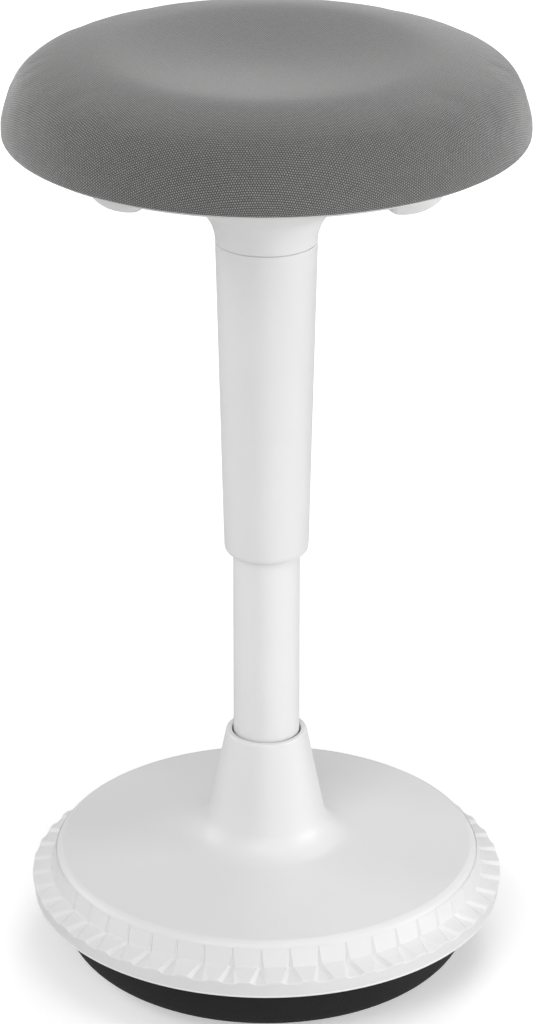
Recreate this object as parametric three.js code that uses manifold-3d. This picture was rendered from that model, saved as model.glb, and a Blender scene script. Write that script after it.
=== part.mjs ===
// A wobble stool: a padded round seat on a gas-lift column, on a weighted base with a domed rubber sole.
// Millimetres, +Z up. The origin is on the floor, at the centre of the base.
import * as THREE from "three";
import { mergeVertices } from "three/addons/utils/BufferGeometryUtils.js";
import { ConvexGeometry } from "three/addons/geometries/ConvexGeometry.js";
import Module from "manifold-3d";

const wasm = await Module();
wasm.setup();

// Gaps, and how far a cutting tool runs past what it cuts
const FIT_GAP = 0.3;
const HOLE_GAP = 0.4;
const OVERRUN = 4;

// How finely round things are drawn
const LARGE_SIDES = 36;
const TUBE_SIDES = 24;
const SPRING_SIDES = 16;
const SMALL_SIDES = 12;
const PIN_SIDES = 8;
const SCREW_SIDES = 6;
const OUTER_STEPS = 6;
const INNER_STEPS = 4;
const LIP_STEPS = 3;
const PADDLE_STEPS = 5;
const PADDLE_TIP_STEPS = 12;
const BALL_SIDES = 6;
const BALL_RINGS = 4;
const CUSHION_STEPS = { tuck: 2, side: 4, crown: 3, dish: 4 };
const FOAM_STEPS = { tuck: 1, side: 3, crown: 2, dish: 3 };
const HALF_TURN = Math.PI;
const QUARTER_TURN = Math.PI / 2;
const FULL_TURN = Math.PI * 2;

// Rubber sole: a flat foot, then one smooth curve out and up to its steep side
const SOLE_DEPTH = 55;
const SOLE_INSET = 19.4;
const SOLE_WALL = 7;
const FOOT_SHARE = 0.485;
const SOLE_REACH_SHARE = 0.956;
const SOLE_LOW_SHARE = 0.087;
const SOLE_HIGH_SHARE = 0.29;

// Base plate, the tray inside the sole
const TRAY_WALL = 4;
const TRAY_FLANGE = 3;

// Base shell
const SHELL_WALL = 3;
const RIM_RADIUS = 178.4;
const RIM_FLARE = 2.1;
const RIM_HEIGHT = 13.6;
const FLANGE_WIDTH = 14.5;
const FLANGE_RISE = 4.6;
const DISC_INSET = 4.5;
const DISC_EDGE_HEIGHT = 15.3;
const DISC_ROUNDING = 5;
const DISC_RISE = 11;
const CONE_FOOT_RADIUS = 44.2;
const CONE_FOOT_HEIGHT = 18.5;
const FILLET_REACH = 24;
const COLLAR_RADIUS = 30.8;
const COLLAR_TOP_Z = 187;
const COLLAR_LIP = 1.6;
const COLLAR_DEPTH = 9;
const MOUTH_GAP = 1;

// Ring of pockets in the rim of the base, each with a groove running up the wall from its inner end
const POCKET_COUNT = 48;
const POCKET_DEPTH = 1.8;
const POCKET_MOUTH_SHARE = 0.66;
const POCKET_FLOOR_SHARE = 0.38;
const GROOVE_WIDTH = 3.2;
const GROOVE_HEIGHT_SHARE = 0.85;

// Column tube and what carries it
const TUBE_RADIUS = 25;
const TUBE_WALL = 2;
const TUBE_LIP = 4;
const TUBE_LIP_HEIGHT = 3;
const SOCKET_WALL = 3;
const SOCKET_LIP_HEIGHT = 2;
const SOCKET_SHARE = 0.8;
const SOCKET_FLANGE_RADIUS = 56;
const SOCKET_FLANGE = 4;
const SOCKET_BOLT_COUNT = 4;
const SOCKET_BOLT_RADIUS = 4;
const SOCKET_BOLT_HEAD_RADIUS = 6.5;
const SOCKET_BOLT_HEAD = 5;
const SOCKET_BOLT_MARGIN = 9.5;

// Cast-iron ring
const WEIGHT_INSET = 41;
const WEIGHT_HEIGHT = 14;
const WEIGHT_CHAMFER_SHARE = 0.33;

// Screws up through the tray's flange into the shell
const SHELL_SCREW_COUNT = 4;
const SHELL_SCREW_RADIUS = 1.8;
const SHELL_SCREW_HEAD_RADIUS = 3.6;
const SHELL_SCREW_HEAD = 1.5;
const SHELL_BOSS_RADIUS = 4.2;

// Swivel bearing and bumper at the foot of the piston rod
const END_PLATE = 4;
const RACE_THICKNESS = 2;
const RACE_RADIUS = 18;
const BALL_RADIUS = 2;
const BALL_COUNT = 8;
const BALL_PITCH_RADIUS = 13;
const CAGE_WIDTH = 5;
const CAGE_THICKNESS = 1.4;
const BUMPER_RADIUS = 15;
const BUMPER_HEIGHT = 20;
const CLIP_RADIUS = 8;
const CLIP_THICKNESS = 1.5;
const ROD_END = 2;

// Gas spring
const ROD_RADIUS = 5;
const ROD_NECK_RADIUS = 4;
const ROD_GROOVE_RADIUS = 3;
const CYLINDER_RADIUS = 14;
const CYLINDER_WALL = 2.8;
const CYLINDER_TAPER = 1;
const CYLINDER_CROWN = 2;
const PISTON_HEIGHT = 18;
const PISTON_GROOVE = 2;
const SEAL_HEIGHT = 2.4;
const ROD_GUIDE_HEIGHT = 20;
const VALVE_LENGTH = 98;
const RELEASE_PIN_RADIUS = 4;
const RELEASE_PIN_LENGTH = 46;
const TRAVEL_UP = 120;
const TRAVEL_DOWN = 110;
const STOP_GAP = 0.5;

// Guide bush in the tube's top
const GUIDE_LENGTH = 80;
const GUIDE_FLANGE = 3.5;

// Telescoping sleeve
const TUBE_SHOWN = 149;
const SLEEVE_LENGTH = 244.3;
const SLEEVE_BOTTOM_RADIUS = 31.6;
const SLEEVE_TOP_RADIUS = 37.3;
const SLEEVE_WALL = 3;
const SLEEVE_ROUNDING = 6;
const SLEEVE_LIP_SHARE = 0.33;
const SLEEVE_BUSH_HEIGHT = 14;
const SLEEVE_BUSH_INSET = 2;
const TUBE_MARGIN = 8;

// Hub and pan, one moulding
const HUB_HEIGHT = 17.4;
const HUB_RADIUS = 43.5;
const HUB_STRAIGHT_SHARE = 0.5;
const HUB_WAIST_SHARE = 0.18;
const SPIGOT_DEPTH = 12;
const SPIGOT_WALL = 2.5;
const PAN_INSET = 8.3;
const PAN_RISE = 62.5;
const PAN_WALL = 3;
const PAN_RIM = 2.6;
const PAN_CURVE_SHARES = [0.23, 0.27, 0.66, 0.83];
const LEDGE_WIDTH = 8;

// Cushion: a woven cover over foam on a plywood board
const SEAT_RADIUS = 190.3;
const SEAT_CREST_RADIUS = 114;
const CUSHION_HEIGHT = 57.8;
const DISH_DEPTH = 8;
const FABRIC = 2.2;
const TUCK_HEIGHT = 3;
const TUCK_REACH = 4.5;
const TUCK_ROUND_SHARE = 0.33;
const HEM_WIDTH = 24;
const SIDE_SHARES = [[1, 0.376], [0.911, 0.659]];
const SHOULDER_SHARE = [0.708, 0.799];
const CROWN_SHARES = [[0.55, 0.905], [0.183, 1]];
const DISH_INNER_SHARE = 0.38;
const DISH_OUTER_SHARE = 0.82;
const BOARD = 12;
const BOARD_INSET = 12.3;

// Screws from the pan up into the board
const BOARD_SCREW_COUNT = 4;
const BOARD_SCREW_MARGIN = 13;
const BOARD_SCREW_RADIUS = 2;
const BOARD_SCREW_HEAD_RADIUS = 4.4;
const BOARD_SCREW_HEAD = 3;
const BOARD_BOSS_WALL = 2.6;

// Steel bracket under the board
const BRACKET_PLATE = 3;
const BRACKET_LENGTH = 140;
const BRACKET_WIDTH = 116;
const CHEEK_LENGTH = 84;
const CHEEK_SPACING = 40;
const CHEEK_HEIGHT = 50;
const BRACKET_SCREW_INSET = 13;
const BRACKET_SCREW_RADIUS = 3;
const BRACKET_SCREW_HEAD_RADIUS = 5.5;
const BRACKET_SCREW_HEAD = 3.5;
const SCREW_BITE_SHARE = 0.75;
const TAPER_SOCKET_WALL = 4.6;
const TAPER_SOCKET_LENGTH = 34;

// Levers, their pivots and the plunger that they press
const PIVOT_REACH = 30;
const PIVOT_DROP = 14.6;
const PIVOT_RADIUS = 3;
const PIVOT_HEAD_RADIUS = 5;
const PIVOT_HEAD = 1.5;
const PIVOT_GROOVE_SHARE = 0.66;
const EYE_RADIUS = 6.5;
const LEVER_TILT_DEG = 6;
const STRIP_THICKNESS = 3;
const STRIP_WIDTH = 16;
const FINGER_WIDTH = 4.5;
const FINGER_OVERLAP = 4.5;
const SPOOL_WAIST_RADIUS = 2.4;
const SPOOL_RADIUS = 8;
const SPOOL_FLANGE = 2;
const SPOOL_BOSS = 3;
const SPOOL_BOSS_INSET = 2;
const SPOOL_LOW_PLAY = 0.8;
const SPOOL_HIGH_PLAY = 1.4;
const SPOOL_STANDOFF = 4;
const LEVER_REACH = 96.5;
const LEVER_DROP = 38;
const PADDLE_THICKNESS = 8;
const PADDLE_WIDTH = 38;
const PADDLE_NECK_WIDTH = 20;
const SLOT_WIDTH = 26;
// Middle line of a lever from its pivot: share of the reach, share of the drop
const ARM_SHARES = [[0.16, 0.02], [0.31, 0.12], [0.42, 0.48], [0.52, 0.85]];
const BLADE_SHARES = [[0.6, 0.95], [0.69, 0.99], [0.77, 1], [0.87, 0.985]];
const TIP_SHARES = [1, 0.92];
const PADDLE_START_SHARE = 0.565;
const PADDLE_WIDE_SHARE = 0.77;
const SLOT_SHARES = [0.36, 0.72];

// Heights and places that follow from the sizes above
const TRAY_FLOOR_Z = SOLE_WALL + FIT_GAP + TRAY_WALL;
const SOLE_RADIUS = RIM_RADIUS - SOLE_INSET;
const FOOT_RADIUS = SOLE_RADIUS * FOOT_SHARE;
const WEIGHT_RADIUS = SOLE_RADIUS - WEIGHT_INSET;
const RIM_BOTTOM_Z = SOLE_DEPTH;
const RIM_TOP_Z = RIM_BOTTOM_Z + RIM_HEIGHT;
const RIM_TOP_RADIUS = RIM_RADIUS + RIM_FLARE;
const WALL_FOOT_RADIUS = RIM_TOP_RADIUS - FLANGE_WIDTH;
const WALL_FOOT_Z = RIM_TOP_Z + FLANGE_RISE;
const DISC_RADIUS = WALL_FOOT_RADIUS - DISC_INSET;
const DISC_EDGE_Z = WALL_FOOT_Z + DISC_EDGE_HEIGHT;
const DISC_TOP_Z = DISC_EDGE_Z + DISC_RISE;
const CONE_FOOT_Z = DISC_TOP_Z + CONE_FOOT_HEIGHT;
const MOUTH_RADIUS = TUBE_RADIUS + MOUTH_GAP;
const TRAY_FLANGE_Z = SOLE_DEPTH + 2 * FIT_GAP + SHELL_SCREW_HEAD;
const TRAY_FLANGE_TOP_Z = TRAY_FLANGE_Z + TRAY_FLANGE;
const TRAY_FLANGE_RADIUS = RIM_RADIUS - SHELL_WALL - 2 * FIT_GAP;
const SHELL_SCREW_CIRCLE = TRAY_FLANGE_RADIUS - SHELL_BOSS_RADIUS - FIT_GAP;

const SOCKET_BOTTOM_Z = TRAY_FLOOR_Z + FIT_GAP;
const SOCKET_INNER_RADIUS = TUBE_RADIUS + FIT_GAP;
const SOCKET_OUTER_RADIUS = SOCKET_INNER_RADIUS + SOCKET_WALL;
const SOCKET_TOP_Z = SOCKET_BOTTOM_Z + (COLLAR_TOP_Z - SOCKET_BOTTOM_Z) * SOCKET_SHARE;
const WEIGHT_BOTTOM_Z = TRAY_FLOOR_Z + FIT_GAP;
const WEIGHT_TOP_Z = WEIGHT_BOTTOM_Z + WEIGHT_HEIGHT;
const SOCKET_FLANGE_Z = WEIGHT_TOP_Z + FIT_GAP;
const SOCKET_BOLT_CIRCLE = SOCKET_FLANGE_RADIUS - SOCKET_BOLT_MARGIN;
const SOCKET_BOLT_SEAT_Z = SOCKET_FLANGE_Z + SOCKET_FLANGE + FIT_GAP;
const SOCKET_BOLT_END_Z = TRAY_FLOOR_Z - TRAY_WALL / 2;

const TUBE_BOTTOM_Z = SOCKET_BOTTOM_Z + SOCKET_LIP_HEIGHT + FIT_GAP;
const TUBE_INNER_RADIUS = TUBE_RADIUS - TUBE_WALL;
const TUBE_LIP_RADIUS = TUBE_INNER_RADIUS - TUBE_LIP;
const END_PLATE_Z = TUBE_BOTTOM_Z + TUBE_LIP_HEIGHT + FIT_GAP;
const LOWER_RACE_Z = END_PLATE_Z + END_PLATE + FIT_GAP;
const BALL_Z = LOWER_RACE_Z + RACE_THICKNESS + FIT_GAP + BALL_RADIUS;
const UPPER_RACE_Z = BALL_Z + BALL_RADIUS + FIT_GAP;
const ROD_SHOULDER_Z = UPPER_RACE_Z + RACE_THICKNESS + FIT_GAP;
const BUMPER_Z = ROD_SHOULDER_Z;
const CLIP_Z = END_PLATE_Z - FIT_GAP - CLIP_THICKNESS;
const ROD_BOTTOM_Z = CLIP_Z - ROD_END;

const SLEEVE_BOTTOM_Z = COLLAR_TOP_Z + TUBE_SHOWN;
const SLEEVE_TOP_Z = SLEEVE_BOTTOM_Z + SLEEVE_LENGTH;
const SLEEVE_BUSH_Z = SLEEVE_BOTTOM_Z + SLEEVE_BUSH_INSET;
const TUBE_TOP_Z = SLEEVE_BUSH_Z + SLEEVE_BUSH_HEIGHT + TRAVEL_UP + TUBE_MARGIN;
const GUIDE_TOP_Z = TUBE_TOP_Z + FIT_GAP;
const SEAM_Z = SLEEVE_TOP_Z + FIT_GAP;
const HUB_TOP_Z = SEAM_Z + HUB_HEIGHT;
const PAN_RIM_Z = HUB_TOP_Z + PAN_RISE;
const PAN_TOP_Z = PAN_RIM_Z + PAN_RIM;
const HEM_Z = PAN_TOP_Z + FIT_GAP;
const BOARD_Z = HEM_Z + FABRIC + FIT_GAP;
const BOARD_TOP_Z = BOARD_Z + BOARD;
const CREST_Z = HEM_Z + CUSHION_HEIGHT;
const WIDEST_Z = HEM_Z + TUCK_HEIGHT;
const PAN_RADIUS = SEAT_RADIUS - PAN_INSET;
const BOARD_RADIUS = SEAT_RADIUS - BOARD_INSET;
const HEM_RADIUS = SEAT_RADIUS - TUCK_REACH;
const HEM_INNER_RADIUS = HEM_RADIUS - HEM_WIDTH;
const LEDGE_RADIUS = HEM_INNER_RADIUS - 2 * FIT_GAP;
const BOARD_SCREW_CIRCLE = LEDGE_RADIUS - LEDGE_WIDTH - BOARD_SCREW_MARGIN;

const BRACKET_Z = BOARD_Z - FIT_GAP - BRACKET_PLATE;
const PIVOT_Z = BRACKET_Z - PIVOT_DROP;
const CHEEK_Z = BRACKET_Z - CHEEK_HEIGHT;
const LEVER_TILT = THREE.MathUtils.degToRad(LEVER_TILT_DEG);
const PRESS = PIVOT_REACH * Math.sin(LEVER_TILT);
const SPOOL_SLOT_Z = PIVOT_Z - STRIP_THICKNESS / 2 - SPOOL_LOW_PLAY;
const SPOOL_BOTTOM_Z = SPOOL_SLOT_Z - SPOOL_FLANGE - SPOOL_BOSS;
const CYLINDER_TOP_Z = SPOOL_BOTTOM_Z - SPOOL_STANDOFF;
const RELEASE_PIN_TOP_Z = SPOOL_SLOT_Z - 2 * FIT_GAP;
const RELEASE_PIN_BOTTOM_Z = RELEASE_PIN_TOP_Z - RELEASE_PIN_LENGTH;
const TAPER_TOP_Z = CYLINDER_TOP_Z - CYLINDER_CROWN - FIT_GAP;
const TAPER_BOTTOM_Z = TAPER_TOP_Z - TAPER_SOCKET_LENGTH;
const CYLINDER_INNER_RADIUS = CYLINDER_RADIUS - CYLINDER_WALL;
const VALVE_TOP_Z = CYLINDER_TOP_Z - CYLINDER_CROWN - FIT_GAP;
const VALVE_BOTTOM_Z = VALVE_TOP_Z - VALVE_LENGTH;
const PISTON_TOP_Z = VALVE_BOTTOM_Z - TRAVEL_DOWN - STOP_GAP;
const PISTON_BOTTOM_Z = PISTON_TOP_Z - PISTON_HEIGHT;
const ROD_GUIDE_TOP_Z = PISTON_BOTTOM_Z - TRAVEL_UP - STOP_GAP;
const CYLINDER_BOTTOM_Z = ROD_GUIDE_TOP_Z - ROD_GUIDE_HEIGHT;

// Finishes
const WHITE_PLASTIC = { color: 0xe9e9e9, roughness: 0.45, metalness: 0 };
const WHITE_PAINT = { color: 0xeeeeee, roughness: 0.25, metalness: 0 };
const BLACK_RUBBER = { color: 0x1e1e1e, roughness: 0.8, metalness: 0 };
const BLACK_PLASTIC = { color: 0x262626, roughness: 0.6, metalness: 0 };
const GREY_CLOTH = { color: 0x767676, roughness: 0.95, metalness: 0 };
const YELLOW_FOAM = { color: 0xe6d9a8, roughness: 0.95, metalness: 0 };
const PLYWOOD = { color: 0xcaa472, roughness: 0.7, metalness: 0 };
const CAST_IRON = { color: 0x3a3a3c, roughness: 0.7, metalness: 0.6 };
const BLACK_STEEL = { color: 0x2c2c2e, roughness: 0.5, metalness: 0.6 };
const BRIGHT_STEEL = { color: 0xb9bbbe, roughness: 0.3, metalness: 0.9 };
const NYLON = { color: 0xd9d6cb, roughness: 0.5, metalness: 0 };

// A point of an outline: distance from the axis, height
function at(radius, height) {
  return new THREE.Vector2(radius, height);
}

// Points along a cubic curve between two ends, with a handle for each end
function curve(start, startHandle, endHandle, end, steps) {
  return new THREE.CubicBezierCurve(start, startHandle, endHandle, end).getPoints(steps);
}

// The same outline moved sideways; to its left for a positive distance
function offset(path, distance) {
  return path.map((point, index) => {
    const before = path[Math.max(index - 1, 0)];
    const after = path[Math.min(index + 1, path.length - 1)];
    const incoming = point.clone().sub(before).normalize();
    const outgoing = after.clone().sub(point).normalize();
    const along = incoming.clone().add(outgoing).normalize();
    const normal = new THREE.Vector2(-along.y, along.x);
    const straightness = Math.max(along.dot(incoming), along.dot(outgoing));
    return point.clone().addScaledVector(normal, distance / straightness);
  });
}

// A solid turned from an outline that runs anticlockwise in radius and height
function turned(outline, sides) {
  const geometry = new THREE.LatheGeometry(outline, sides);
  geometry.rotateX(QUARTER_TURN);
  return geometry;
}

// A turned ring with a rectangular section
function ring(innerRadius, outerRadius, bottom, top, sides) {
  const outline = [
    at(innerRadius, bottom),
    at(outerRadius, bottom),
    at(outerRadius, top),
    at(innerRadius, top),
    at(innerRadius, bottom),
  ];
  return turned(outline, sides);
}

// A turned disc or post
function post(radius, bottom, top, sides) {
  return turned([at(0, bottom), at(radius, bottom), at(radius, top), at(0, top)], sides);
}

// A post whose axis runs along Y
function crossPost(radius, length, sides) {
  return new THREE.CylinderGeometry(radius, radius, length, sides);
}

// A block between two corners
function block(low, high) {
  const geometry = new THREE.BoxGeometry(high[0] - low[0], high[1] - low[1], high[2] - low[2]);
  geometry.translate((low[0] + high[0]) / 2, (low[1] + high[1]) / 2, (low[2] + high[2]) / 2);
  return geometry;
}

// A flat outline in X and Z, given a width along Y about a middle
function acrossY(outline, width, middle) {
  const settings = { depth: width, bevelEnabled: false };
  const geometry = new THREE.ExtrudeGeometry(new THREE.Shape(outline), settings);
  geometry.rotateX(QUARTER_TURN);
  geometry.translate(0, middle + width / 2, 0);
  return geometry;
}

// Closed mesh to solid, without the flat triangles that a lathe leaves on its axis
function toSolid(geometry) {
  const bare = geometry.clone();
  bare.deleteAttribute("normal");
  bare.deleteAttribute("uv");
  const merged = mergeVertices(bare);
  const corners = merged.index.array;
  const kept = [];
  for (let i = 0; i < corners.length; i += 3) {
    const [a, b, c] = [corners[i], corners[i + 1], corners[i + 2]];
    if (a !== b && b !== c && c !== a) {
      kept.push(a, b, c);
    }
  }
  const vertProperties = merged.attributes.position.array;
  return new wasm.Manifold(new wasm.Mesh({ numProp: 3, vertProperties, triVerts: new Uint32Array(kept) }));
}

function toGeometry(solid) {
  const mesh = solid.getMesh();
  const geometry = new THREE.BufferGeometry();
  geometry.setAttribute("position", new THREE.BufferAttribute(mesh.vertProperties, mesh.numProp));
  geometry.setIndex(new THREE.BufferAttribute(mesh.triVerts, 1));
  const flat = geometry.toNonIndexed();
  flat.computeVertexNormals();
  return flat;
}

function join(first, ...others) {
  return toGeometry(others.reduce((sum, other) => sum.add(toSolid(other)), toSolid(first)));
}

function cut(first, ...tools) {
  return toGeometry(tools.reduce((rest, tool) => rest.subtract(toSolid(tool)), toSolid(first)));
}

function common(first, second) {
  return toGeometry(toSolid(first).intersect(toSolid(second)));
}

// Evenly spaced angles round the axis
function angles(count, start) {
  return Array.from({ length: count }, (_, index) => start + (index * FULL_TURN) / count);
}

// A copy of a shape moved out along X and then turned about the axis
function around(geometry, circle, angle) {
  return geometry.clone().translate(circle, 0, 0).rotateZ(angle);
}

function part(name, geometry, finish) {
  const mesh = new THREE.Mesh(geometry, new THREE.MeshStandardMaterial(finish));
  mesh.name = name;
  return mesh;
}

// A headed screw standing on its head, or hanging from it when the head is on top
function screw(headRadius, headHeight, shankRadius, seat, end) {
  const headEnd = seat - Math.sign(end - seat) * headHeight;
  const outline = [at(0, headEnd), at(headRadius, headEnd), at(headRadius, seat), at(shankRadius, seat),
    at(shankRadius, end), at(0, end)];
  return turned(end > seat ? outline : outline.reverse(), SCREW_SIDES);
}

// Base

function soleOutline(steps) {
  const reach = FOOT_RADIUS + (SOLE_RADIUS - FOOT_RADIUS) * SOLE_REACH_SHARE;
  const side = curve(
    at(FOOT_RADIUS, 0),
    at(reach, SOLE_DEPTH * SOLE_LOW_SHARE),
    at(SOLE_RADIUS, SOLE_DEPTH * SOLE_HIGH_SHARE),
    at(SOLE_RADIUS, TRAY_FLANGE_Z - FIT_GAP),
    steps,
  );
  return [at(0, 0), ...side];
}

function rubberSole() {
  const outside = soleOutline(OUTER_STEPS);
  const inside = offset(soleOutline(INNER_STEPS), SOLE_WALL);
  inside[0].x = 0;
  inside[inside.length - 1].y = outside[outside.length - 1].y;
  return turned([...outside, ...inside.reverse()], LARGE_SIDES);
}

function basePlate() {
  const outside = offset(soleOutline(INNER_STEPS), SOLE_WALL + FIT_GAP);
  const inside = offset(soleOutline(INNER_STEPS), SOLE_WALL + FIT_GAP + TRAY_WALL);
  outside[0].x = 0;
  inside[0].x = 0;
  outside[outside.length - 1].y = TRAY_FLANGE_Z;
  inside[inside.length - 1].y = TRAY_FLANGE_TOP_Z;
  const flange = [at(TRAY_FLANGE_RADIUS, TRAY_FLANGE_Z), at(TRAY_FLANGE_RADIUS, TRAY_FLANGE_TOP_Z)];
  const tray = turned([...outside, ...flange, ...inside.reverse()], LARGE_SIDES);
  const boltHole = post(SOCKET_BOLT_RADIUS + FIT_GAP, -OVERRUN, TRAY_FLOOR_Z + OVERRUN, SCREW_SIDES);
  const screwHole = post(
    SHELL_SCREW_RADIUS + HOLE_GAP, TRAY_FLANGE_Z - OVERRUN, TRAY_FLANGE_TOP_Z + OVERRUN, SCREW_SIDES);
  const holes = [
    ...socketBoltAngles().map((angle) => around(boltHole, SOCKET_BOLT_CIRCLE, angle)),
    ...shellScrewAngles().map((angle) => around(screwHole, SHELL_SCREW_CIRCLE, angle)),
  ];
  return cut(tray, ...holes);
}

function shellOutline() {
  const coneSlope = (CONE_FOOT_RADIUS - COLLAR_RADIUS) / (COLLAR_TOP_Z - CONE_FOOT_Z);
  const handle = CONE_FOOT_HEIGHT / 2;
  const fillet = curve(
    at(CONE_FOOT_RADIUS, CONE_FOOT_Z),
    at(CONE_FOOT_RADIUS + coneSlope * handle, CONE_FOOT_Z - handle),
    at(CONE_FOOT_RADIUS + handle, DISC_TOP_Z),
    at(CONE_FOOT_RADIUS + FILLET_REACH, DISC_TOP_Z),
    INNER_STEPS,
  );
  const edge = curve(
    at(DISC_RADIUS - DISC_ROUNDING, DISC_EDGE_Z + DISC_ROUNDING / 2),
    at(DISC_RADIUS - DISC_ROUNDING / 2, DISC_EDGE_Z + DISC_ROUNDING / 4),
    at(DISC_RADIUS, DISC_EDGE_Z),
    at(DISC_RADIUS + DISC_INSET / 4, DISC_EDGE_Z - DISC_ROUNDING),
    INNER_STEPS / 2,
  );
  return [
    at(COLLAR_RADIUS, COLLAR_TOP_Z - COLLAR_LIP),
    ...fillet,
    ...edge,
    at(WALL_FOOT_RADIUS, WALL_FOOT_Z),
    at(RIM_TOP_RADIUS, RIM_TOP_Z),
    at(RIM_RADIUS, RIM_BOTTOM_Z),
  ];
}

// What one pocket takes away, lying out along X: a wedge off the flange and a groove off the wall
function pocket() {
  const flatness = Math.cos(HALF_TURN / POCKET_COUNT);
  const footRadius = WALL_FOOT_RADIUS * flatness;
  const rimRadius = RIM_TOP_RADIUS * flatness;
  const pitch = (FULL_TURN * RIM_TOP_RADIUS) / POCKET_COUNT;
  const bevel = (pitch * (POCKET_MOUTH_SHARE - POCKET_FLOOR_SHARE)) / 2;
  const reach = (rimRadius + OVERRUN - footRadius) / (rimRadius - footRadius);
  const floorHalf = (reach * pitch * POCKET_FLOOR_SHARE) / 2;
  const mouthHalf = floorHalf + bevel * (1 + OVERRUN / POCKET_DEPTH);
  const outerZ = WALL_FOOT_Z - FLANGE_RISE * reach;
  const grooveTopZ = WALL_FOOT_Z + DISC_EDGE_HEIGHT * GROOVE_HEIGHT_SHARE;
  const grooveTopRadius = footRadius - DISC_INSET * GROOVE_HEIGHT_SHARE;
  const grooveHalf = (GROOVE_WIDTH / 2) * (1 + OVERRUN / POCKET_DEPTH);
  const deepest = new THREE.Vector3(footRadius - POCKET_DEPTH, 0, WALL_FOOT_Z - POCKET_DEPTH);
  const wedge = [deepest, new THREE.Vector3(footRadius, 0, WALL_FOOT_Z + OVERRUN)];
  const groove = [deepest, new THREE.Vector3(grooveTopRadius, 0, grooveTopZ)];
  for (const side of [-1, 1]) {
    wedge.push(new THREE.Vector3(rimRadius + OVERRUN, side * floorHalf, outerZ - POCKET_DEPTH));
    wedge.push(new THREE.Vector3(rimRadius + OVERRUN, side * mouthHalf, outerZ + OVERRUN));
    groove.push(new THREE.Vector3(footRadius + OVERRUN, side * grooveHalf, WALL_FOOT_Z));
    groove.push(new THREE.Vector3(grooveTopRadius + OVERRUN, side * grooveHalf, grooveTopZ));
  }
  return [new ConvexGeometry(wedge), new ConvexGeometry(groove)];
}

function baseShell() {
  const outside = shellOutline();
  const inside = offset(outside, -SHELL_WALL);
  inside[0].set(inside[0].x, COLLAR_TOP_Z - COLLAR_DEPTH);
  inside[inside.length - 1].y = RIM_BOTTOM_Z;
  const outline = [
    at(MOUTH_RADIUS, COLLAR_TOP_Z - COLLAR_DEPTH),
    ...inside,
    ...outside.reverse(),
    at(COLLAR_RADIUS - COLLAR_LIP, COLLAR_TOP_Z),
    at(MOUTH_RADIUS + COLLAR_LIP / 2, COLLAR_TOP_Z),
    at(MOUTH_RADIUS, COLLAR_TOP_Z - COLLAR_LIP),
    at(MOUTH_RADIUS, COLLAR_TOP_Z - COLLAR_DEPTH),
  ];
  const shell = turned(outline, POCKET_COUNT).rotateZ(HALF_TURN / POCKET_COUNT);
  const pockets = angles(POCKET_COUNT, -QUARTER_TURN).flatMap((angle) =>
    pocket().map((piece) => piece.rotateZ(angle)));
  const boss = post(SHELL_BOSS_RADIUS, TRAY_FLANGE_TOP_Z + FIT_GAP, RIM_TOP_Z, SCREW_SIDES);
  const bosses = shellScrewAngles().map((angle) => around(boss, SHELL_SCREW_CIRCLE, angle));
  const pilot = post(
    SHELL_SCREW_RADIUS + FIT_GAP, TRAY_FLANGE_TOP_Z - OVERRUN, shellScrewEnd() + FIT_GAP, SCREW_SIDES);
  const pilots = shellScrewAngles().map((angle) => around(pilot, SHELL_SCREW_CIRCLE, angle));
  return cut(join(shell, ...bosses), ...pockets, ...pilots);
}

function shellScrewAngles() {
  return angles(SHELL_SCREW_COUNT, HALF_TURN / SHELL_SCREW_COUNT);
}

function shellScrewEnd() {
  return RIM_TOP_Z - SHELL_WALL / 2;
}

function shellScrew(angle) {
  const seat = TRAY_FLANGE_Z - FIT_GAP;
  const shape = screw(
    SHELL_SCREW_HEAD_RADIUS, SHELL_SCREW_HEAD, SHELL_SCREW_RADIUS, seat, shellScrewEnd());
  return around(shape, SHELL_SCREW_CIRCLE, angle);
}

function socketBoltAngles() {
  return angles(SOCKET_BOLT_COUNT, HALF_TURN / SOCKET_BOLT_COUNT);
}

function socketBolt(angle) {
  const shape = screw(
    SOCKET_BOLT_HEAD_RADIUS, SOCKET_BOLT_HEAD, SOCKET_BOLT_RADIUS, SOCKET_BOLT_SEAT_Z, SOCKET_BOLT_END_Z);
  return around(shape, SOCKET_BOLT_CIRCLE, angle);
}

function counterweight() {
  const innerRadius = SOCKET_OUTER_RADIUS + FIT_GAP;
  const chamferZ = WEIGHT_BOTTOM_Z + WEIGHT_HEIGHT * WEIGHT_CHAMFER_SHARE;
  const outline = [
    at(innerRadius, WEIGHT_BOTTOM_Z),
    at(FOOT_RADIUS, WEIGHT_BOTTOM_Z),
    at(WEIGHT_RADIUS, chamferZ),
    at(WEIGHT_RADIUS, WEIGHT_TOP_Z),
    at(innerRadius, WEIGHT_TOP_Z),
    at(innerRadius, WEIGHT_BOTTOM_Z),
  ];
  const hole = post(
    SOCKET_BOLT_RADIUS + HOLE_GAP, WEIGHT_BOTTOM_Z - OVERRUN, WEIGHT_TOP_Z + OVERRUN, SCREW_SIDES);
  const holes = socketBoltAngles().map((angle) => around(hole, SOCKET_BOLT_CIRCLE, angle));
  return cut(turned(outline, LARGE_SIDES), ...holes);
}

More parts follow.
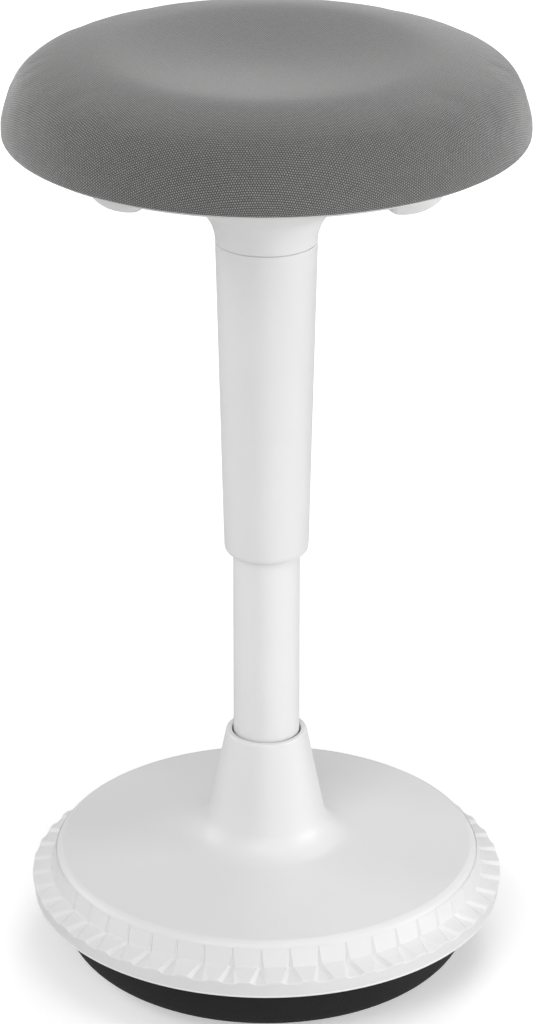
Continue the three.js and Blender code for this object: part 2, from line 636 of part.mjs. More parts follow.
function columnSocket() {
  const flangeTopZ = SOCKET_FLANGE_Z + SOCKET_FLANGE;
  const outline = [
    at(TUBE_LIP_RADIUS, SOCKET_BOTTOM_Z),
    at(SOCKET_OUTER_RADIUS, SOCKET_BOTTOM_Z),
    at(SOCKET_OUTER_RADIUS, SOCKET_FLANGE_Z),
    at(SOCKET_FLANGE_RADIUS, SOCKET_FLANGE_Z),
    at(SOCKET_FLANGE_RADIUS, flangeTopZ),
    at(SOCKET_OUTER_RADIUS, flangeTopZ),
    at(SOCKET_OUTER_RADIUS, SOCKET_TOP_Z),
    at(SOCKET_INNER_RADIUS, SOCKET_TOP_Z),
    at(SOCKET_INNER_RADIUS, SOCKET_BOTTOM_Z + SOCKET_LIP_HEIGHT),
    at(TUBE_LIP_RADIUS, SOCKET_BOTTOM_Z + SOCKET_LIP_HEIGHT),
    at(TUBE_LIP_RADIUS, SOCKET_BOTTOM_Z),
  ];
  const hole = post(
    SOCKET_BOLT_RADIUS + HOLE_GAP, SOCKET_FLANGE_Z - OVERRUN, flangeTopZ + OVERRUN, SCREW_SIDES);
  const holes = socketBoltAngles().map((angle) => around(hole, SOCKET_BOLT_CIRCLE, angle));
  return cut(turned(outline, TUBE_SIDES), ...holes);
}

// Column

function outerTube() {
  const outline = [
    at(TUBE_LIP_RADIUS, TUBE_BOTTOM_Z),
    at(TUBE_RADIUS, TUBE_BOTTOM_Z),
    at(TUBE_RADIUS, TUBE_TOP_Z),
    at(TUBE_INNER_RADIUS, TUBE_TOP_Z),
    at(TUBE_INNER_RADIUS, TUBE_BOTTOM_Z + TUBE_LIP_HEIGHT),
    at(TUBE_LIP_RADIUS, TUBE_BOTTOM_Z + TUBE_LIP_HEIGHT),
    at(TUBE_LIP_RADIUS, TUBE_BOTTOM_Z),
  ];
  return turned(outline, TUBE_SIDES);
}

function guideBush() {
  const boreRadius = CYLINDER_RADIUS + FIT_GAP;
  const fitRadius = TUBE_INNER_RADIUS - FIT_GAP;
  const outline = [
    at(boreRadius, TUBE_TOP_Z - GUIDE_LENGTH),
    at(fitRadius, TUBE_TOP_Z - GUIDE_LENGTH),
    at(fitRadius, GUIDE_TOP_Z),
    at(TUBE_RADIUS, GUIDE_TOP_Z),
    at(TUBE_RADIUS, GUIDE_TOP_Z + GUIDE_FLANGE),
    at(boreRadius, GUIDE_TOP_Z + GUIDE_FLANGE),
    at(boreRadius, TUBE_TOP_Z - GUIDE_LENGTH),
  ];
  return turned(outline, TUBE_SIDES);
}

function ballRing() {
  const cage = ring(
    BALL_PITCH_RADIUS - CAGE_WIDTH / 2,
    BALL_PITCH_RADIUS + CAGE_WIDTH / 2,
    BALL_Z - CAGE_THICKNESS / 2,
    BALL_Z + CAGE_THICKNESS / 2,
    SMALL_SIDES,
  );
  const ball = new THREE.SphereGeometry(BALL_RADIUS, BALL_SIDES, BALL_RINGS)
    .rotateX(QUARTER_TURN)
    .translate(0, 0, BALL_Z);
  return join(cage, ...angles(BALL_COUNT, 0).map((angle) => around(ball, BALL_PITCH_RADIUS, angle)));
}

function pistonRod() {
  const outline = [
    at(0, ROD_BOTTOM_Z),
    at(ROD_NECK_RADIUS, ROD_BOTTOM_Z),
    at(ROD_NECK_RADIUS, CLIP_Z - FIT_GAP),
    at(ROD_GROOVE_RADIUS, CLIP_Z - FIT_GAP),
    at(ROD_GROOVE_RADIUS, END_PLATE_Z),
    at(ROD_NECK_RADIUS, END_PLATE_Z),
    at(ROD_NECK_RADIUS, ROD_SHOULDER_Z),
    at(ROD_RADIUS, ROD_SHOULDER_Z),
    at(ROD_RADIUS, PISTON_BOTTOM_Z - FIT_GAP),
    at(ROD_NECK_RADIUS, PISTON_BOTTOM_Z - FIT_GAP),
    at(ROD_NECK_RADIUS, PISTON_TOP_Z),
    at(0, PISTON_TOP_Z),
  ];
  return turned(outline, SMALL_SIDES);
}

function piston() {
  const outerRadius = CYLINDER_INNER_RADIUS - FIT_GAP;
  const grooveLow = (PISTON_BOTTOM_Z + PISTON_TOP_Z) / 2 - SEAL_HEIGHT / 2 - FIT_GAP;
  const grooveHigh = grooveLow + SEAL_HEIGHT + 2 * FIT_GAP;
  const boreRadius = ROD_NECK_RADIUS + FIT_GAP;
  const outline = [
    at(boreRadius, PISTON_BOTTOM_Z),
    at(outerRadius, PISTON_BOTTOM_Z),
    at(outerRadius, grooveLow),
    at(outerRadius - PISTON_GROOVE, grooveLow),
    at(outerRadius - PISTON_GROOVE, grooveHigh),
    at(outerRadius, grooveHigh),
    at(outerRadius, PISTON_TOP_Z),
    at(boreRadius, PISTON_TOP_Z),
    at(boreRadius, PISTON_BOTTOM_Z),
  ];
  return turned(outline, SPRING_SIDES);
}

function pistonSeal() {
  const outerRadius = CYLINDER_INNER_RADIUS - FIT_GAP;
  const middle = (PISTON_BOTTOM_Z + PISTON_TOP_Z) / 2;
  return ring(
    outerRadius - PISTON_GROOVE + FIT_GAP,
    outerRadius,
    middle - SEAL_HEIGHT / 2,
    middle + SEAL_HEIGHT / 2,
    SPRING_SIDES,
  );
}

// Gas cylinder: open at the foot for the rod's guide, and bored at the crown for the release pin
function gasCylinder() {
  const crownRadius = CYLINDER_RADIUS - CYLINDER_TAPER;
  const pinHoleRadius = RELEASE_PIN_RADIUS + HOLE_GAP;
  const innerTop = CYLINDER_TOP_Z - CYLINDER_CROWN;
  const tapered = CYLINDER_INNER_RADIUS - CYLINDER_TAPER;
  const outline = [
    at(CYLINDER_INNER_RADIUS, CYLINDER_BOTTOM_Z),
    at(CYLINDER_RADIUS, CYLINDER_BOTTOM_Z),
    at(CYLINDER_RADIUS, TAPER_BOTTOM_Z),
    at(crownRadius, CYLINDER_TOP_Z),
    at(pinHoleRadius, CYLINDER_TOP_Z),
    at(pinHoleRadius, innerTop),
    at(tapered, innerTop),
    at(tapered, TAPER_BOTTOM_Z),
    at(CYLINDER_INNER_RADIUS, TAPER_BOTTOM_Z - CYLINDER_TAPER),
    at(CYLINDER_INNER_RADIUS, CYLINDER_BOTTOM_Z),
  ];
  return turned(outline, SPRING_SIDES);
}

function valveBody() {
  const lowerRadius = CYLINDER_INNER_RADIUS - FIT_GAP;
  const upperRadius = lowerRadius - CYLINDER_TAPER;
  const boreRadius = RELEASE_PIN_RADIUS + HOLE_GAP;
  const boreBottom = RELEASE_PIN_BOTTOM_Z - PRESS - STOP_GAP;
  const step = TAPER_BOTTOM_Z - CYLINDER_TAPER - FIT_GAP;
  const outline = [
    at(0, VALVE_BOTTOM_Z),
    at(lowerRadius, VALVE_BOTTOM_Z),
    at(lowerRadius, step),
    at(upperRadius, step + CYLINDER_TAPER),
    at(upperRadius, VALVE_TOP_Z),
    at(boreRadius, VALVE_TOP_Z),
    at(boreRadius, boreBottom),
    at(0, boreBottom),
  ];
  return turned(outline, SPRING_SIDES);
}

function columnSleeve() {
  const innerBottom = SLEEVE_BOTTOM_RADIUS - SLEEVE_WALL;
  const innerTop = SLEEVE_TOP_RADIUS - SLEEVE_WALL;
  const lip = curve(
    at(innerBottom, SLEEVE_BOTTOM_Z),
    at(SLEEVE_BOTTOM_RADIUS - SLEEVE_WALL * SLEEVE_LIP_SHARE, SLEEVE_BOTTOM_Z),
    at(SLEEVE_BOTTOM_RADIUS, SLEEVE_BOTTOM_Z + SLEEVE_ROUNDING / 2),
    at(SLEEVE_BOTTOM_RADIUS, SLEEVE_BOTTOM_Z + SLEEVE_ROUNDING),
    LIP_STEPS,
  );
  const outline = [...lip, at(SLEEVE_TOP_RADIUS, SLEEVE_TOP_Z), at(innerTop, SLEEVE_TOP_Z),
    at(innerBottom, SLEEVE_BOTTOM_Z)];
  return turned(outline, TUBE_SIDES);
}

// Inner radius of the tapered sleeve at a height
function sleeveBore(height) {
  const share = (height - SLEEVE_BOTTOM_Z) / SLEEVE_LENGTH;
  return THREE.MathUtils.lerp(SLEEVE_BOTTOM_RADIUS, SLEEVE_TOP_RADIUS, share) - SLEEVE_WALL;
}

function sleeveBush() {
  const top = SLEEVE_BUSH_Z + SLEEVE_BUSH_HEIGHT;
  const outline = [
    at(TUBE_RADIUS + FIT_GAP, SLEEVE_BUSH_Z),
    at(sleeveBore(SLEEVE_BUSH_Z) - FIT_GAP, SLEEVE_BUSH_Z),
    at(sleeveBore(top) - FIT_GAP, top),
    at(TUBE_RADIUS + FIT_GAP, top),
    at(TUBE_RADIUS + FIT_GAP, SLEEVE_BUSH_Z),
  ];
  return turned(outline, TUBE_SIDES);
}

// Seat

function panOutline(steps) {
  const waist = SLEEVE_TOP_RADIUS + (HUB_RADIUS - SLEEVE_TOP_RADIUS) * HUB_WAIST_SHARE;
  const flare = curve(
    at(SLEEVE_TOP_RADIUS, SEAM_Z),
    at(waist, SEAM_Z + HUB_HEIGHT * HUB_STRAIGHT_SHARE),
    at(waist, SEAM_Z + HUB_HEIGHT * HUB_STRAIGHT_SHARE),
    at(HUB_RADIUS, HUB_TOP_Z),
    steps / 2,
  );
  const [lowOut, lowUp, highOut, highUp] = PAN_CURVE_SHARES;
  const spread = PAN_RADIUS - HUB_RADIUS;
  const bowl = curve(
    at(HUB_RADIUS, HUB_TOP_Z),
    at(HUB_RADIUS + spread * lowOut, HUB_TOP_Z + PAN_RISE * lowUp),
    at(HUB_RADIUS + spread * highOut, HUB_TOP_Z + PAN_RISE * highUp),
    at(PAN_RADIUS, PAN_RIM_Z),
    steps,
  );
  return [...flare, ...bowl.slice(1)];
}

// Height of the pan's outside at a distance from the axis
function panHeight(radius) {
  const path = panOutline(OUTER_STEPS);
  const index = path.findIndex((point) => point.x >= radius);
  const [low, high] = [path[index - 1], path[index]];
  return THREE.MathUtils.lerp(low.y, high.y, (radius - low.x) / (high.x - low.x));
}

function boardScrewSeat() {
  return panHeight(BOARD_SCREW_CIRCLE) + BOARD_SCREW_HEAD + FIT_GAP;
}

function seatPan() {
  const outside = panOutline(OUTER_STEPS);
  const inside = offset(panOutline(INNER_STEPS), PAN_WALL).filter(
    (point) => point.x < LEDGE_RADIUS - LEDGE_WIDTH && point.y > SEAM_Z + PAN_WALL);
  const spigotRadius = sleeveBore(SLEEVE_TOP_Z - SPIGOT_DEPTH) - FIT_GAP;
  const ledgeZ = BOARD_Z - FIT_GAP;
  const outline = [
    at(spigotRadius - SPIGOT_WALL, SLEEVE_TOP_Z - SPIGOT_DEPTH),
    at(spigotRadius, SLEEVE_TOP_Z - SPIGOT_DEPTH),
    at(spigotRadius, SEAM_Z),
    ...outside,
    at(PAN_RADIUS, PAN_TOP_Z),
    at(LEDGE_RADIUS, PAN_TOP_Z),
    at(LEDGE_RADIUS, ledgeZ),
    at(LEDGE_RADIUS - LEDGE_WIDTH, ledgeZ),
    at(LEDGE_RADIUS - LEDGE_WIDTH, panHeight(LEDGE_RADIUS - LEDGE_WIDTH) + PAN_WALL),
    ...inside.reverse(),
    at(spigotRadius - SPIGOT_WALL, SEAM_Z + PAN_WALL),
    at(spigotRadius - SPIGOT_WALL, SLEEVE_TOP_Z - SPIGOT_DEPTH),
  ];
  const skin = turned(outline, LARGE_SIDES);
  const bossFoot = panHeight(BOARD_SCREW_CIRCLE);
  const bossRadius = BOARD_SCREW_HEAD_RADIUS + HOLE_GAP + BOARD_BOSS_WALL;
  const boss = post(bossRadius, bossFoot, ledgeZ, SCREW_SIDES);
  const recess = post(
    BOARD_SCREW_HEAD_RADIUS + HOLE_GAP, bossFoot - 2 * OVERRUN, boardScrewSeat(), SCREW_SIDES);
  const hole = post(BOARD_SCREW_RADIUS + HOLE_GAP, bossFoot - OVERRUN, ledgeZ + OVERRUN, SCREW_SIDES);
  const places = boardScrewAngles();
  const withBosses = join(skin, ...places.map((angle) => around(boss, BOARD_SCREW_CIRCLE, angle)));
  const slots = [0, HALF_TURN].map((angle) => leverSlot().rotateZ(angle));
  return cut(
    withBosses,
    ...places.map((angle) => around(recess, BOARD_SCREW_CIRCLE, angle)),
    ...places.map((angle) => around(hole, BOARD_SCREW_CIRCLE, angle)),
    ...slots,
  );
}

// Opening through the pan for a lever's arm
function leverSlot() {
  const [inner, outer] = SLOT_SHARES.map((share) => PIVOT_REACH + LEVER_REACH * share);
  return block([inner, -SLOT_WIDTH / 2, HUB_TOP_Z], [outer, SLOT_WIDTH / 2, BRACKET_Z]);
}

function boardScrewAngles() {
  return angles(BOARD_SCREW_COUNT, HALF_TURN / BOARD_SCREW_COUNT);
}

function boardScrew(angle) {
  const end = BOARD_Z + BOARD * SCREW_BITE_SHARE;
  const shape = screw(
    BOARD_SCREW_HEAD_RADIUS, BOARD_SCREW_HEAD, BOARD_SCREW_RADIUS, boardScrewSeat() - FIT_GAP, end);
  return around(shape, BOARD_SCREW_CIRCLE, angle);
}

function bracketScrewPlaces() {
  const reachX = BRACKET_LENGTH / 2 - BRACKET_SCREW_INSET;
  const reachY = BRACKET_WIDTH / 2 - BRACKET_SCREW_INSET;
  return [[reachX, reachY], [-reachX, reachY], [-reachX, -reachY], [reachX, -reachY]];
}

function bracketScrew([x, y]) {
  const end = BOARD_Z + BOARD * SCREW_BITE_SHARE;
  const shape = screw(
    BRACKET_SCREW_HEAD_RADIUS, BRACKET_SCREW_HEAD, BRACKET_SCREW_RADIUS, BRACKET_Z - FIT_GAP, end);
  return shape.translate(x, y, 0);
}

function seatBoard() {
  const end = BOARD_Z + BOARD * SCREW_BITE_SHARE + FIT_GAP;
  const panPilot = post(BOARD_SCREW_RADIUS + HOLE_GAP, BOARD_Z - OVERRUN, end, SCREW_SIDES);
  const bracketPilot = post(BRACKET_SCREW_RADIUS + HOLE_GAP, BOARD_Z - OVERRUN, end, SCREW_SIDES);
  return cut(
    post(BOARD_RADIUS, BOARD_Z, BOARD_TOP_Z, LARGE_SIDES),
    ...boardScrewAngles().map((angle) => around(panPilot, BOARD_SCREW_CIRCLE, angle)),
    ...bracketScrewPlaces().map(([x, y]) => bracketPilot.clone().translate(x, y, 0)),
  );
}

// Upper surface of the cushion, from its widest ring over the shoulder and crest to the dish's middle
function cushionOutline(steps) {
  const share = ([across, up]) => at(
    SEAT_CREST_RADIUS + (SEAT_RADIUS - SEAT_CREST_RADIUS) * across,
    WIDEST_Z + (CREST_Z - WIDEST_Z) * up,
  );
  const side = curve(at(SEAT_RADIUS, WIDEST_Z), ...SIDE_SHARES.map(share), share(SHOULDER_SHARE), steps.side);
  const crown = curve(
    share(SHOULDER_SHARE),
    ...CROWN_SHARES.map(share),
    at(SEAT_CREST_RADIUS, CREST_Z),
    steps.crown,
  );
  const dish = curve(
    at(SEAT_CREST_RADIUS, CREST_Z),
    at(SEAT_CREST_RADIUS * DISH_OUTER_SHARE, CREST_Z),
    at(SEAT_CREST_RADIUS * DISH_INNER_SHARE, CREST_Z - DISH_DEPTH),
    at(0, CREST_Z - DISH_DEPTH),
    steps.dish,
  );
  return [...side, ...crown.slice(1), ...dish.slice(1)];
}

// The cover's whole outside, from the hem's inner edge under the seat
function coverOutline(steps) {
  const tuck = curve(
    at(HEM_RADIUS, HEM_Z),
    at(SEAT_RADIUS - TUCK_REACH * TUCK_ROUND_SHARE, HEM_Z),
    at(SEAT_RADIUS, HEM_Z + TUCK_HEIGHT / 2),
    at(SEAT_RADIUS, WIDEST_Z),
    steps.tuck,
  );
  return [at(HEM_INNER_RADIUS, HEM_Z), ...tuck.slice(0, -1), ...cushionOutline(steps)];
}

function fabricCover() {
  const outside = coverOutline(CUSHION_STEPS);
  const inside = offset(coverOutline(FOAM_STEPS), FABRIC);
  inside[inside.length - 1].x = 0;
  return turned([...outside, ...inside.reverse(), outside[0]], LARGE_SIDES);
}

function foamPad() {
  const surface = offset(coverOutline(FOAM_STEPS), FABRIC + FIT_GAP).slice(1);
  surface[surface.length - 1].x = 0;
  const outline = [
    at(0, BOARD_TOP_Z + FIT_GAP),
    at(BOARD_RADIUS + FIT_GAP, BOARD_TOP_Z + FIT_GAP),
    at(BOARD_RADIUS + FIT_GAP, surface[0].y),
    ...surface,
  ];
  return turned(outline, LARGE_SIDES);
}

// Bracket: plate against the board, two cheeks, a web between them and the tapered socket
function mountingBracket() {
  const halfCheek = CHEEK_SPACING / 2;
  const plate = block(
    [-BRACKET_LENGTH / 2, -BRACKET_WIDTH / 2, BRACKET_Z],
    [BRACKET_LENGTH / 2, BRACKET_WIDTH / 2, BRACKET_Z + BRACKET_PLATE],
  );
  const cheeks = block(
    [-CHEEK_LENGTH / 2, -halfCheek - BRACKET_PLATE, CHEEK_Z],
    [CHEEK_LENGTH / 2, halfCheek + BRACKET_PLATE, BRACKET_Z + BRACKET_PLATE / 2],
  );
  const between = block(
    [-CHEEK_LENGTH, -halfCheek, CHEEK_Z + BRACKET_PLATE],
    [CHEEK_LENGTH, halfCheek, BRACKET_Z],
  );
  const socket = post(CYLINDER_RADIUS + TAPER_SOCKET_WALL, TAPER_BOTTOM_Z, TAPER_TOP_Z, SPRING_SIDES);
  const boreRadius = CYLINDER_RADIUS + FIT_GAP;
  const bore = turned([
    at(0, TAPER_BOTTOM_Z - OVERRUN),
    at(boreRadius, TAPER_BOTTOM_Z - OVERRUN),
    at(boreRadius, TAPER_BOTTOM_Z),
    at(boreRadius - CYLINDER_TAPER, CYLINDER_TOP_Z),
    at(0, CYLINDER_TOP_Z),
  ], SPRING_SIDES);
  const pivotLength = CHEEK_SPACING + 2 * BRACKET_PLATE + 2 * OVERRUN;
  const pivots = [-PIVOT_REACH, PIVOT_REACH].map((x) =>
    crossPost(PIVOT_RADIUS + FIT_GAP, pivotLength, PIN_SIDES).translate(x, 0, PIVOT_Z));
  const screwHole = post(
    BRACKET_SCREW_RADIUS + HOLE_GAP, BRACKET_Z - OVERRUN, BRACKET_Z + BRACKET_PLATE + OVERRUN, SCREW_SIDES);
  const screwHoles = bracketScrewPlaces().map(([x, y]) => screwHole.clone().translate(x, y, 0));
  return cut(join(plate, cut(cheeks, between), socket), bore, ...pivots, ...screwHoles);
}

// Pivot pin along Y: a head outside one cheek, and a groove outside the other for its clip
function pivotPin() {
  const cheekOut = CHEEK_SPACING / 2 + BRACKET_PLATE + FIT_GAP;
  const outline = [
    at(0, -cheekOut - PIVOT_HEAD),
    at(PIVOT_HEAD_RADIUS, -cheekOut - PIVOT_HEAD),
    at(PIVOT_HEAD_RADIUS, -cheekOut),
    at(PIVOT_RADIUS, -cheekOut),
    at(PIVOT_RADIUS, cheekOut),
    at(PIVOT_RADIUS * PIVOT_GROOVE_SHARE, cheekOut),
    at(PIVOT_RADIUS * PIVOT_GROOVE_SHARE, cheekOut + PIVOT_HEAD + FIT_GAP),
    at(PIVOT_RADIUS, cheekOut + PIVOT_HEAD + FIT_GAP),
    at(PIVOT_RADIUS, cheekOut + 2 * PIVOT_HEAD),
    at(0, cheekOut + 2 * PIVOT_HEAD),
  ];
  return new THREE.LatheGeometry(outline, PIN_SIDES);
}

function pinClip() {
  const cheekOut = CHEEK_SPACING / 2 + BRACKET_PLATE + FIT_GAP;
  const innerRadius = PIVOT_RADIUS * PIVOT_GROOVE_SHARE + FIT_GAP;
  const outline = [
    at(innerRadius, cheekOut + FIT_GAP / 2),
    at(PIVOT_HEAD_RADIUS, cheekOut + FIT_GAP / 2),
    at(PIVOT_HEAD_RADIUS, cheekOut + PIVOT_HEAD),
    at(innerRadius, cheekOut + PIVOT_HEAD),
    at(innerRadius, cheekOut + FIT_GAP / 2),
  ];
  return new THREE.LatheGeometry(outline, PIN_SIDES);
}

// A point of a lever's middle line, measured from the stool's axis
function leverPoint([reachShare, dropShare]) {
  return at(PIVOT_REACH + LEVER_REACH * reachShare, PIVOT_Z - LEVER_DROP * dropShare);
}

// Closed outline of a strip of a thickness along a middle line
function stripOutline(middle, thickness) {
  return [...offset(middle, -thickness / 2), ...offset(middle, thickness / 2).reverse()];
}

function leverLine() {
  return [at(PIVOT_REACH, PIVOT_Z), ...ARM_SHARES.map(leverPoint), ...BLADE_SHARES.map(leverPoint)];
}

// Lever arm on the +X side: finger, eye on the pivot, and the strip that runs out to the paddle
function leverArm() {
  const eye = crossPost(EYE_RADIUS, CHEEK_SPACING - 2 * HOLE_GAP, PIN_SIDES);
  const bore = crossPost(PIVOT_RADIUS + FIT_GAP, CHEEK_SPACING + OVERRUN, PIN_SIDES);
  eye.translate(PIVOT_REACH, 0, PIVOT_Z);
  bore.translate(PIVOT_REACH, 0, PIVOT_Z);
  const strip = acrossY(stripOutline(leverLine(), STRIP_THICKNESS), STRIP_WIDTH, 0);
  const fingerMiddle = -SPOOL_WAIST_RADIUS - HOLE_GAP - FINGER_WIDTH / 2;
  const fingerLine = [at(-FINGER_OVERLAP, PIVOT_Z), at(PIVOT_REACH, PIVOT_Z)];
  const finger = acrossY(stripOutline(fingerLine, STRIP_THICKNESS), FINGER_WIDTH, fingerMiddle);
  return cut(join(eye, strip, finger), bore);
}

// Paddle on the +X side: a tongue seen from above, gently dished along its length, moulded round the strip
function paddle() {
  const neck = leverPoint([PADDLE_START_SHARE, 0]).x;
  const wide = leverPoint([PADDLE_WIDE_SHARE, 0]).x;
  const tip = leverPoint(TIP_SHARES);
  const half = PADDLE_WIDTH / 2;
  const neckHalf = PADDLE_NECK_WIDTH / 2;
  const bend = (wide - neck) / 2;
  const nearSide = curve(
    at(neck, -neckHalf), at(neck + bend, -neckHalf), at(wide - bend, -half), at(wide, -half), PADDLE_STEPS);
  const roundTip = new THREE.EllipseCurve(wide, 0, tip.x - wide, half, -QUARTER_TURN, QUARTER_TURN)
    .getPoints(PADDLE_TIP_STEPS);
  const farSide = nearSide.map((point) => at(point.x, -point.y)).reverse();
  const plan = [...nearSide, ...roundTip.slice(1), ...farSide.slice(1)];
  const depth = 2 * LEVER_DROP;
  const tongue = new THREE.ExtrudeGeometry(new THREE.Shape(plan), { depth, bevelEnabled: false });
  tongue.translate(0, 0, PIVOT_Z - depth);
  const start = leverPoint([PADDLE_START_SHARE, ARM_SHARES[ARM_SHARES.length - 1][1]]);
  const line = [start, ...BLADE_SHARES.map(leverPoint), tip];
  const edged = [...line, tip.clone().add(at(OVERRUN, 0))];
  const side = acrossY(stripOutline(edged, PADDLE_THICKNESS), PADDLE_WIDTH + OVERRUN, 0);
  const pocketLine = [...ARM_SHARES, ...BLADE_SHARES].map(leverPoint);
  const last = pocketLine[pocketLine.length - 1];
  pocketLine[pocketLine.length - 1] = last.clone().add(at(FIT_GAP, 0));
  const pocket = acrossY(
    stripOutline(pocketLine, STRIP_THICKNESS + 2 * FIT_GAP), STRIP_WIDTH + 2 * FIT_GAP, 0);
  return cut(common(tongue, side), pocket);
}

// Plunger spool over the release pin: both fingers lie between its flanges, one on each side of its waist
function releaseSpool() {
  const boreRadius = RELEASE_PIN_RADIUS + FIT_GAP;
  const slotTop = SPOOL_SLOT_Z + STRIP_THICKNESS + SPOOL_LOW_PLAY + SPOOL_HIGH_PLAY;
  const outline = [
    at(boreRadius, SPOOL_BOTTOM_Z),
    at(SPOOL_RADIUS - SPOOL_BOSS_INSET, SPOOL_BOTTOM_Z),
    at(SPOOL_RADIUS - SPOOL_BOSS_INSET, SPOOL_SLOT_Z - SPOOL_FLANGE),
    at(SPOOL_RADIUS, SPOOL_SLOT_Z - SPOOL_FLANGE),
    at(SPOOL_RADIUS, SPOOL_SLOT_Z),
    at(SPOOL_WAIST_RADIUS, SPOOL_SLOT_Z),
    at(SPOOL_WAIST_RADIUS, slotTop),
    at(SPOOL_RADIUS, slotTop),
    at(SPOOL_RADIUS, slotTop + SPOOL_FLANGE),
    at(0, slotTop + SPOOL_FLANGE),
    at(0, RELEASE_PIN_TOP_Z + FIT_GAP),
    at(boreRadius, RELEASE_PIN_TOP_Z + FIT_GAP),
    at(boreRadius, SPOOL_BOTTOM_Z),
  ];
  return turned(outline, SMALL_SIDES);
}

// Assembly

function numbered(name, places, shape, finish) {
  return places.map((place, index) => part(`${name}_${index + 1}`, shape(place), finish));
}

function baseGroup() {
  const group = new THREE.Group();
  group.add(
    part("base_shell", baseShell(), WHITE_PLASTIC),
    part("rubber_sole", rubberSole(), BLACK_RUBBER),
    part("base_plate", basePlate(), BLACK_PLASTIC),
    part("counterweight", counterweight(), CAST_IRON),
    part("column_socket", columnSocket(), BLACK_STEEL),
    part("outer_tube", outerTube(), WHITE_PAINT),
    part("guide_bush", guideBush(), NYLON),
    part("end_plate", ring(
      ROD_NECK_RADIUS + HOLE_GAP, TUBE_INNER_RADIUS - FIT_GAP, END_PLATE_Z, END_PLATE_Z + END_PLATE,
      TUBE_SIDES,
    ), BRIGHT_STEEL),
    part("lower_race", ring(
      ROD_NECK_RADIUS + HOLE_GAP, RACE_RADIUS, LOWER_RACE_Z, LOWER_RACE_Z + RACE_THICKNESS, SMALL_SIDES,
    ), BRIGHT_STEEL),
    part("ball_ring", ballRing(), BRIGHT_STEEL),
    ...numbered("socket_bolt", socketBoltAngles(), socketBolt, BRIGHT_STEEL),
    ...numbered("shell_screw", shellScrewAngles(), shellScrew, BRIGHT_STEEL),
  );
  return group;
}

function rodGroup() {
  const group = new THREE.Group();
  group.add(
    part("piston_rod", pistonRod(), BRIGHT_STEEL),
    part("piston", piston(), BRIGHT_STEEL),
    part("piston_seal", pistonSeal(), BLACK_RUBBER),
    part("upper_race", ring(
      ROD_NECK_RADIUS + HOLE_GAP, RACE_RADIUS, UPPER_RACE_Z, UPPER_RACE_Z + RACE_THICKNESS, SMALL_SIDES,
    ), BRIGHT_STEEL),
    part("rubber_bumper", ring(
      ROD_RADIUS + FIT_GAP, BUMPER_RADIUS, BUMPER_Z, BUMPER_Z + BUMPER_HEIGHT, SMALL_SIDES,
    ), BLACK_RUBBER),
    part("rod_clip", ring(
      ROD_GROOVE_RADIUS + FIT_GAP, CLIP_RADIUS, CLIP_Z, CLIP_Z + CLIP_THICKNESS, SMALL_SIDES,
    ), BLACK_STEEL),
  );
  return group;
}

function seatGroup() {
  const group = new THREE.Group();
  group.add(
    part("fabric_cover", fabricCover(), GREY_CLOTH),
    part("foam_pad", foamPad(), YELLOW_FOAM),
    part("seat_board", seatBoard(), PLYWOOD),
    part("seat_pan", seatPan(), WHITE_PLASTIC),
    part("column_sleeve", columnSleeve(), WHITE_PLASTIC),
    part("sleeve_bush", sleeveBush(), NYLON),
    part("gas_cylinder", gasCylinder(), BLACK_STEEL),
    part("rod_guide", ring(
      ROD_RADIUS + FIT_GAP, CYLINDER_INNER_RADIUS - FIT_GAP, CYLINDER_BOTTOM_Z, ROD_GUIDE_TOP_Z,
      SPRING_SIDES,
    ), NYLON),
    part("valve_body", valveBody(), BRIGHT_STEEL),
    part("mounting_bracket", mountingBracket(), BLACK_STEEL),
    ...numbered("bracket_screw", bracketScrewPlaces(), bracketScrew, BRIGHT_STEEL),
    ...numbered("board_screw", boardScrewAngles(), boardScrew, BRIGHT_STEEL),
  );
  for (const [side, x] of [["right", PIVOT_REACH], ["left", -PIVOT_REACH]]) {
    const pin = part(`${side}_pivot_pin`, pivotPin(), BRIGHT_STEEL);
    const clip = part(`${side}_pin_clip`, pinClip(), BLACK_STEEL);
    pin.position.set(x, 0, PIVOT_Z);
    clip.position.set(x, 0, PIVOT_Z);
    group.add(pin, clip);
  }
  return group;
}

// The two levers are the same moulding and strip, one of them turned half round the axis
function leverGroup(side, turn) {
  const group = new THREE.Group();
  group.add(
    part(`${side}_lever_arm`, leverArm(), BRIGHT_STEEL),
    part(`${side}_paddle`, paddle(), WHITE_PLASTIC),
  );
  group.rotation.z = turn;
  return group;
}

function releaseGroup() {
  const group = new THREE.Group();
  group.add(
    part("release_pin", post(
      RELEASE_PIN_RADIUS, RELEASE_PIN_BOTTOM_Z, RELEASE_PIN_TOP_Z, PIN_SIDES,
    ), BRIGHT_STEEL),
    part("release_spool", releaseSpool(), BLACK_PLASTIC),
  );
  return group;
}

const stool = new THREE.Group();
stool.add(
  baseGroup(),
  rodGroup(),
  seatGroup(),
  leverGroup("right", 0),
  leverGroup("left", HALF_TURN),
  releaseGroup(),
);

export default stool;
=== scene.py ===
"""Looks of the round wobble stool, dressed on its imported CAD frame.

The stool is built in order from the floor up: the rocking base, the column, the seat and the release levers.
Every length is in metres, in the CAD's own frame: the floor at zero, the column up +Z, the camera on the -Y
side.
"""

import logging
import math
from collections.abc import Callable, Iterable, Sequence
from dataclasses import dataclass, field
from enum import Enum
from functools import cache

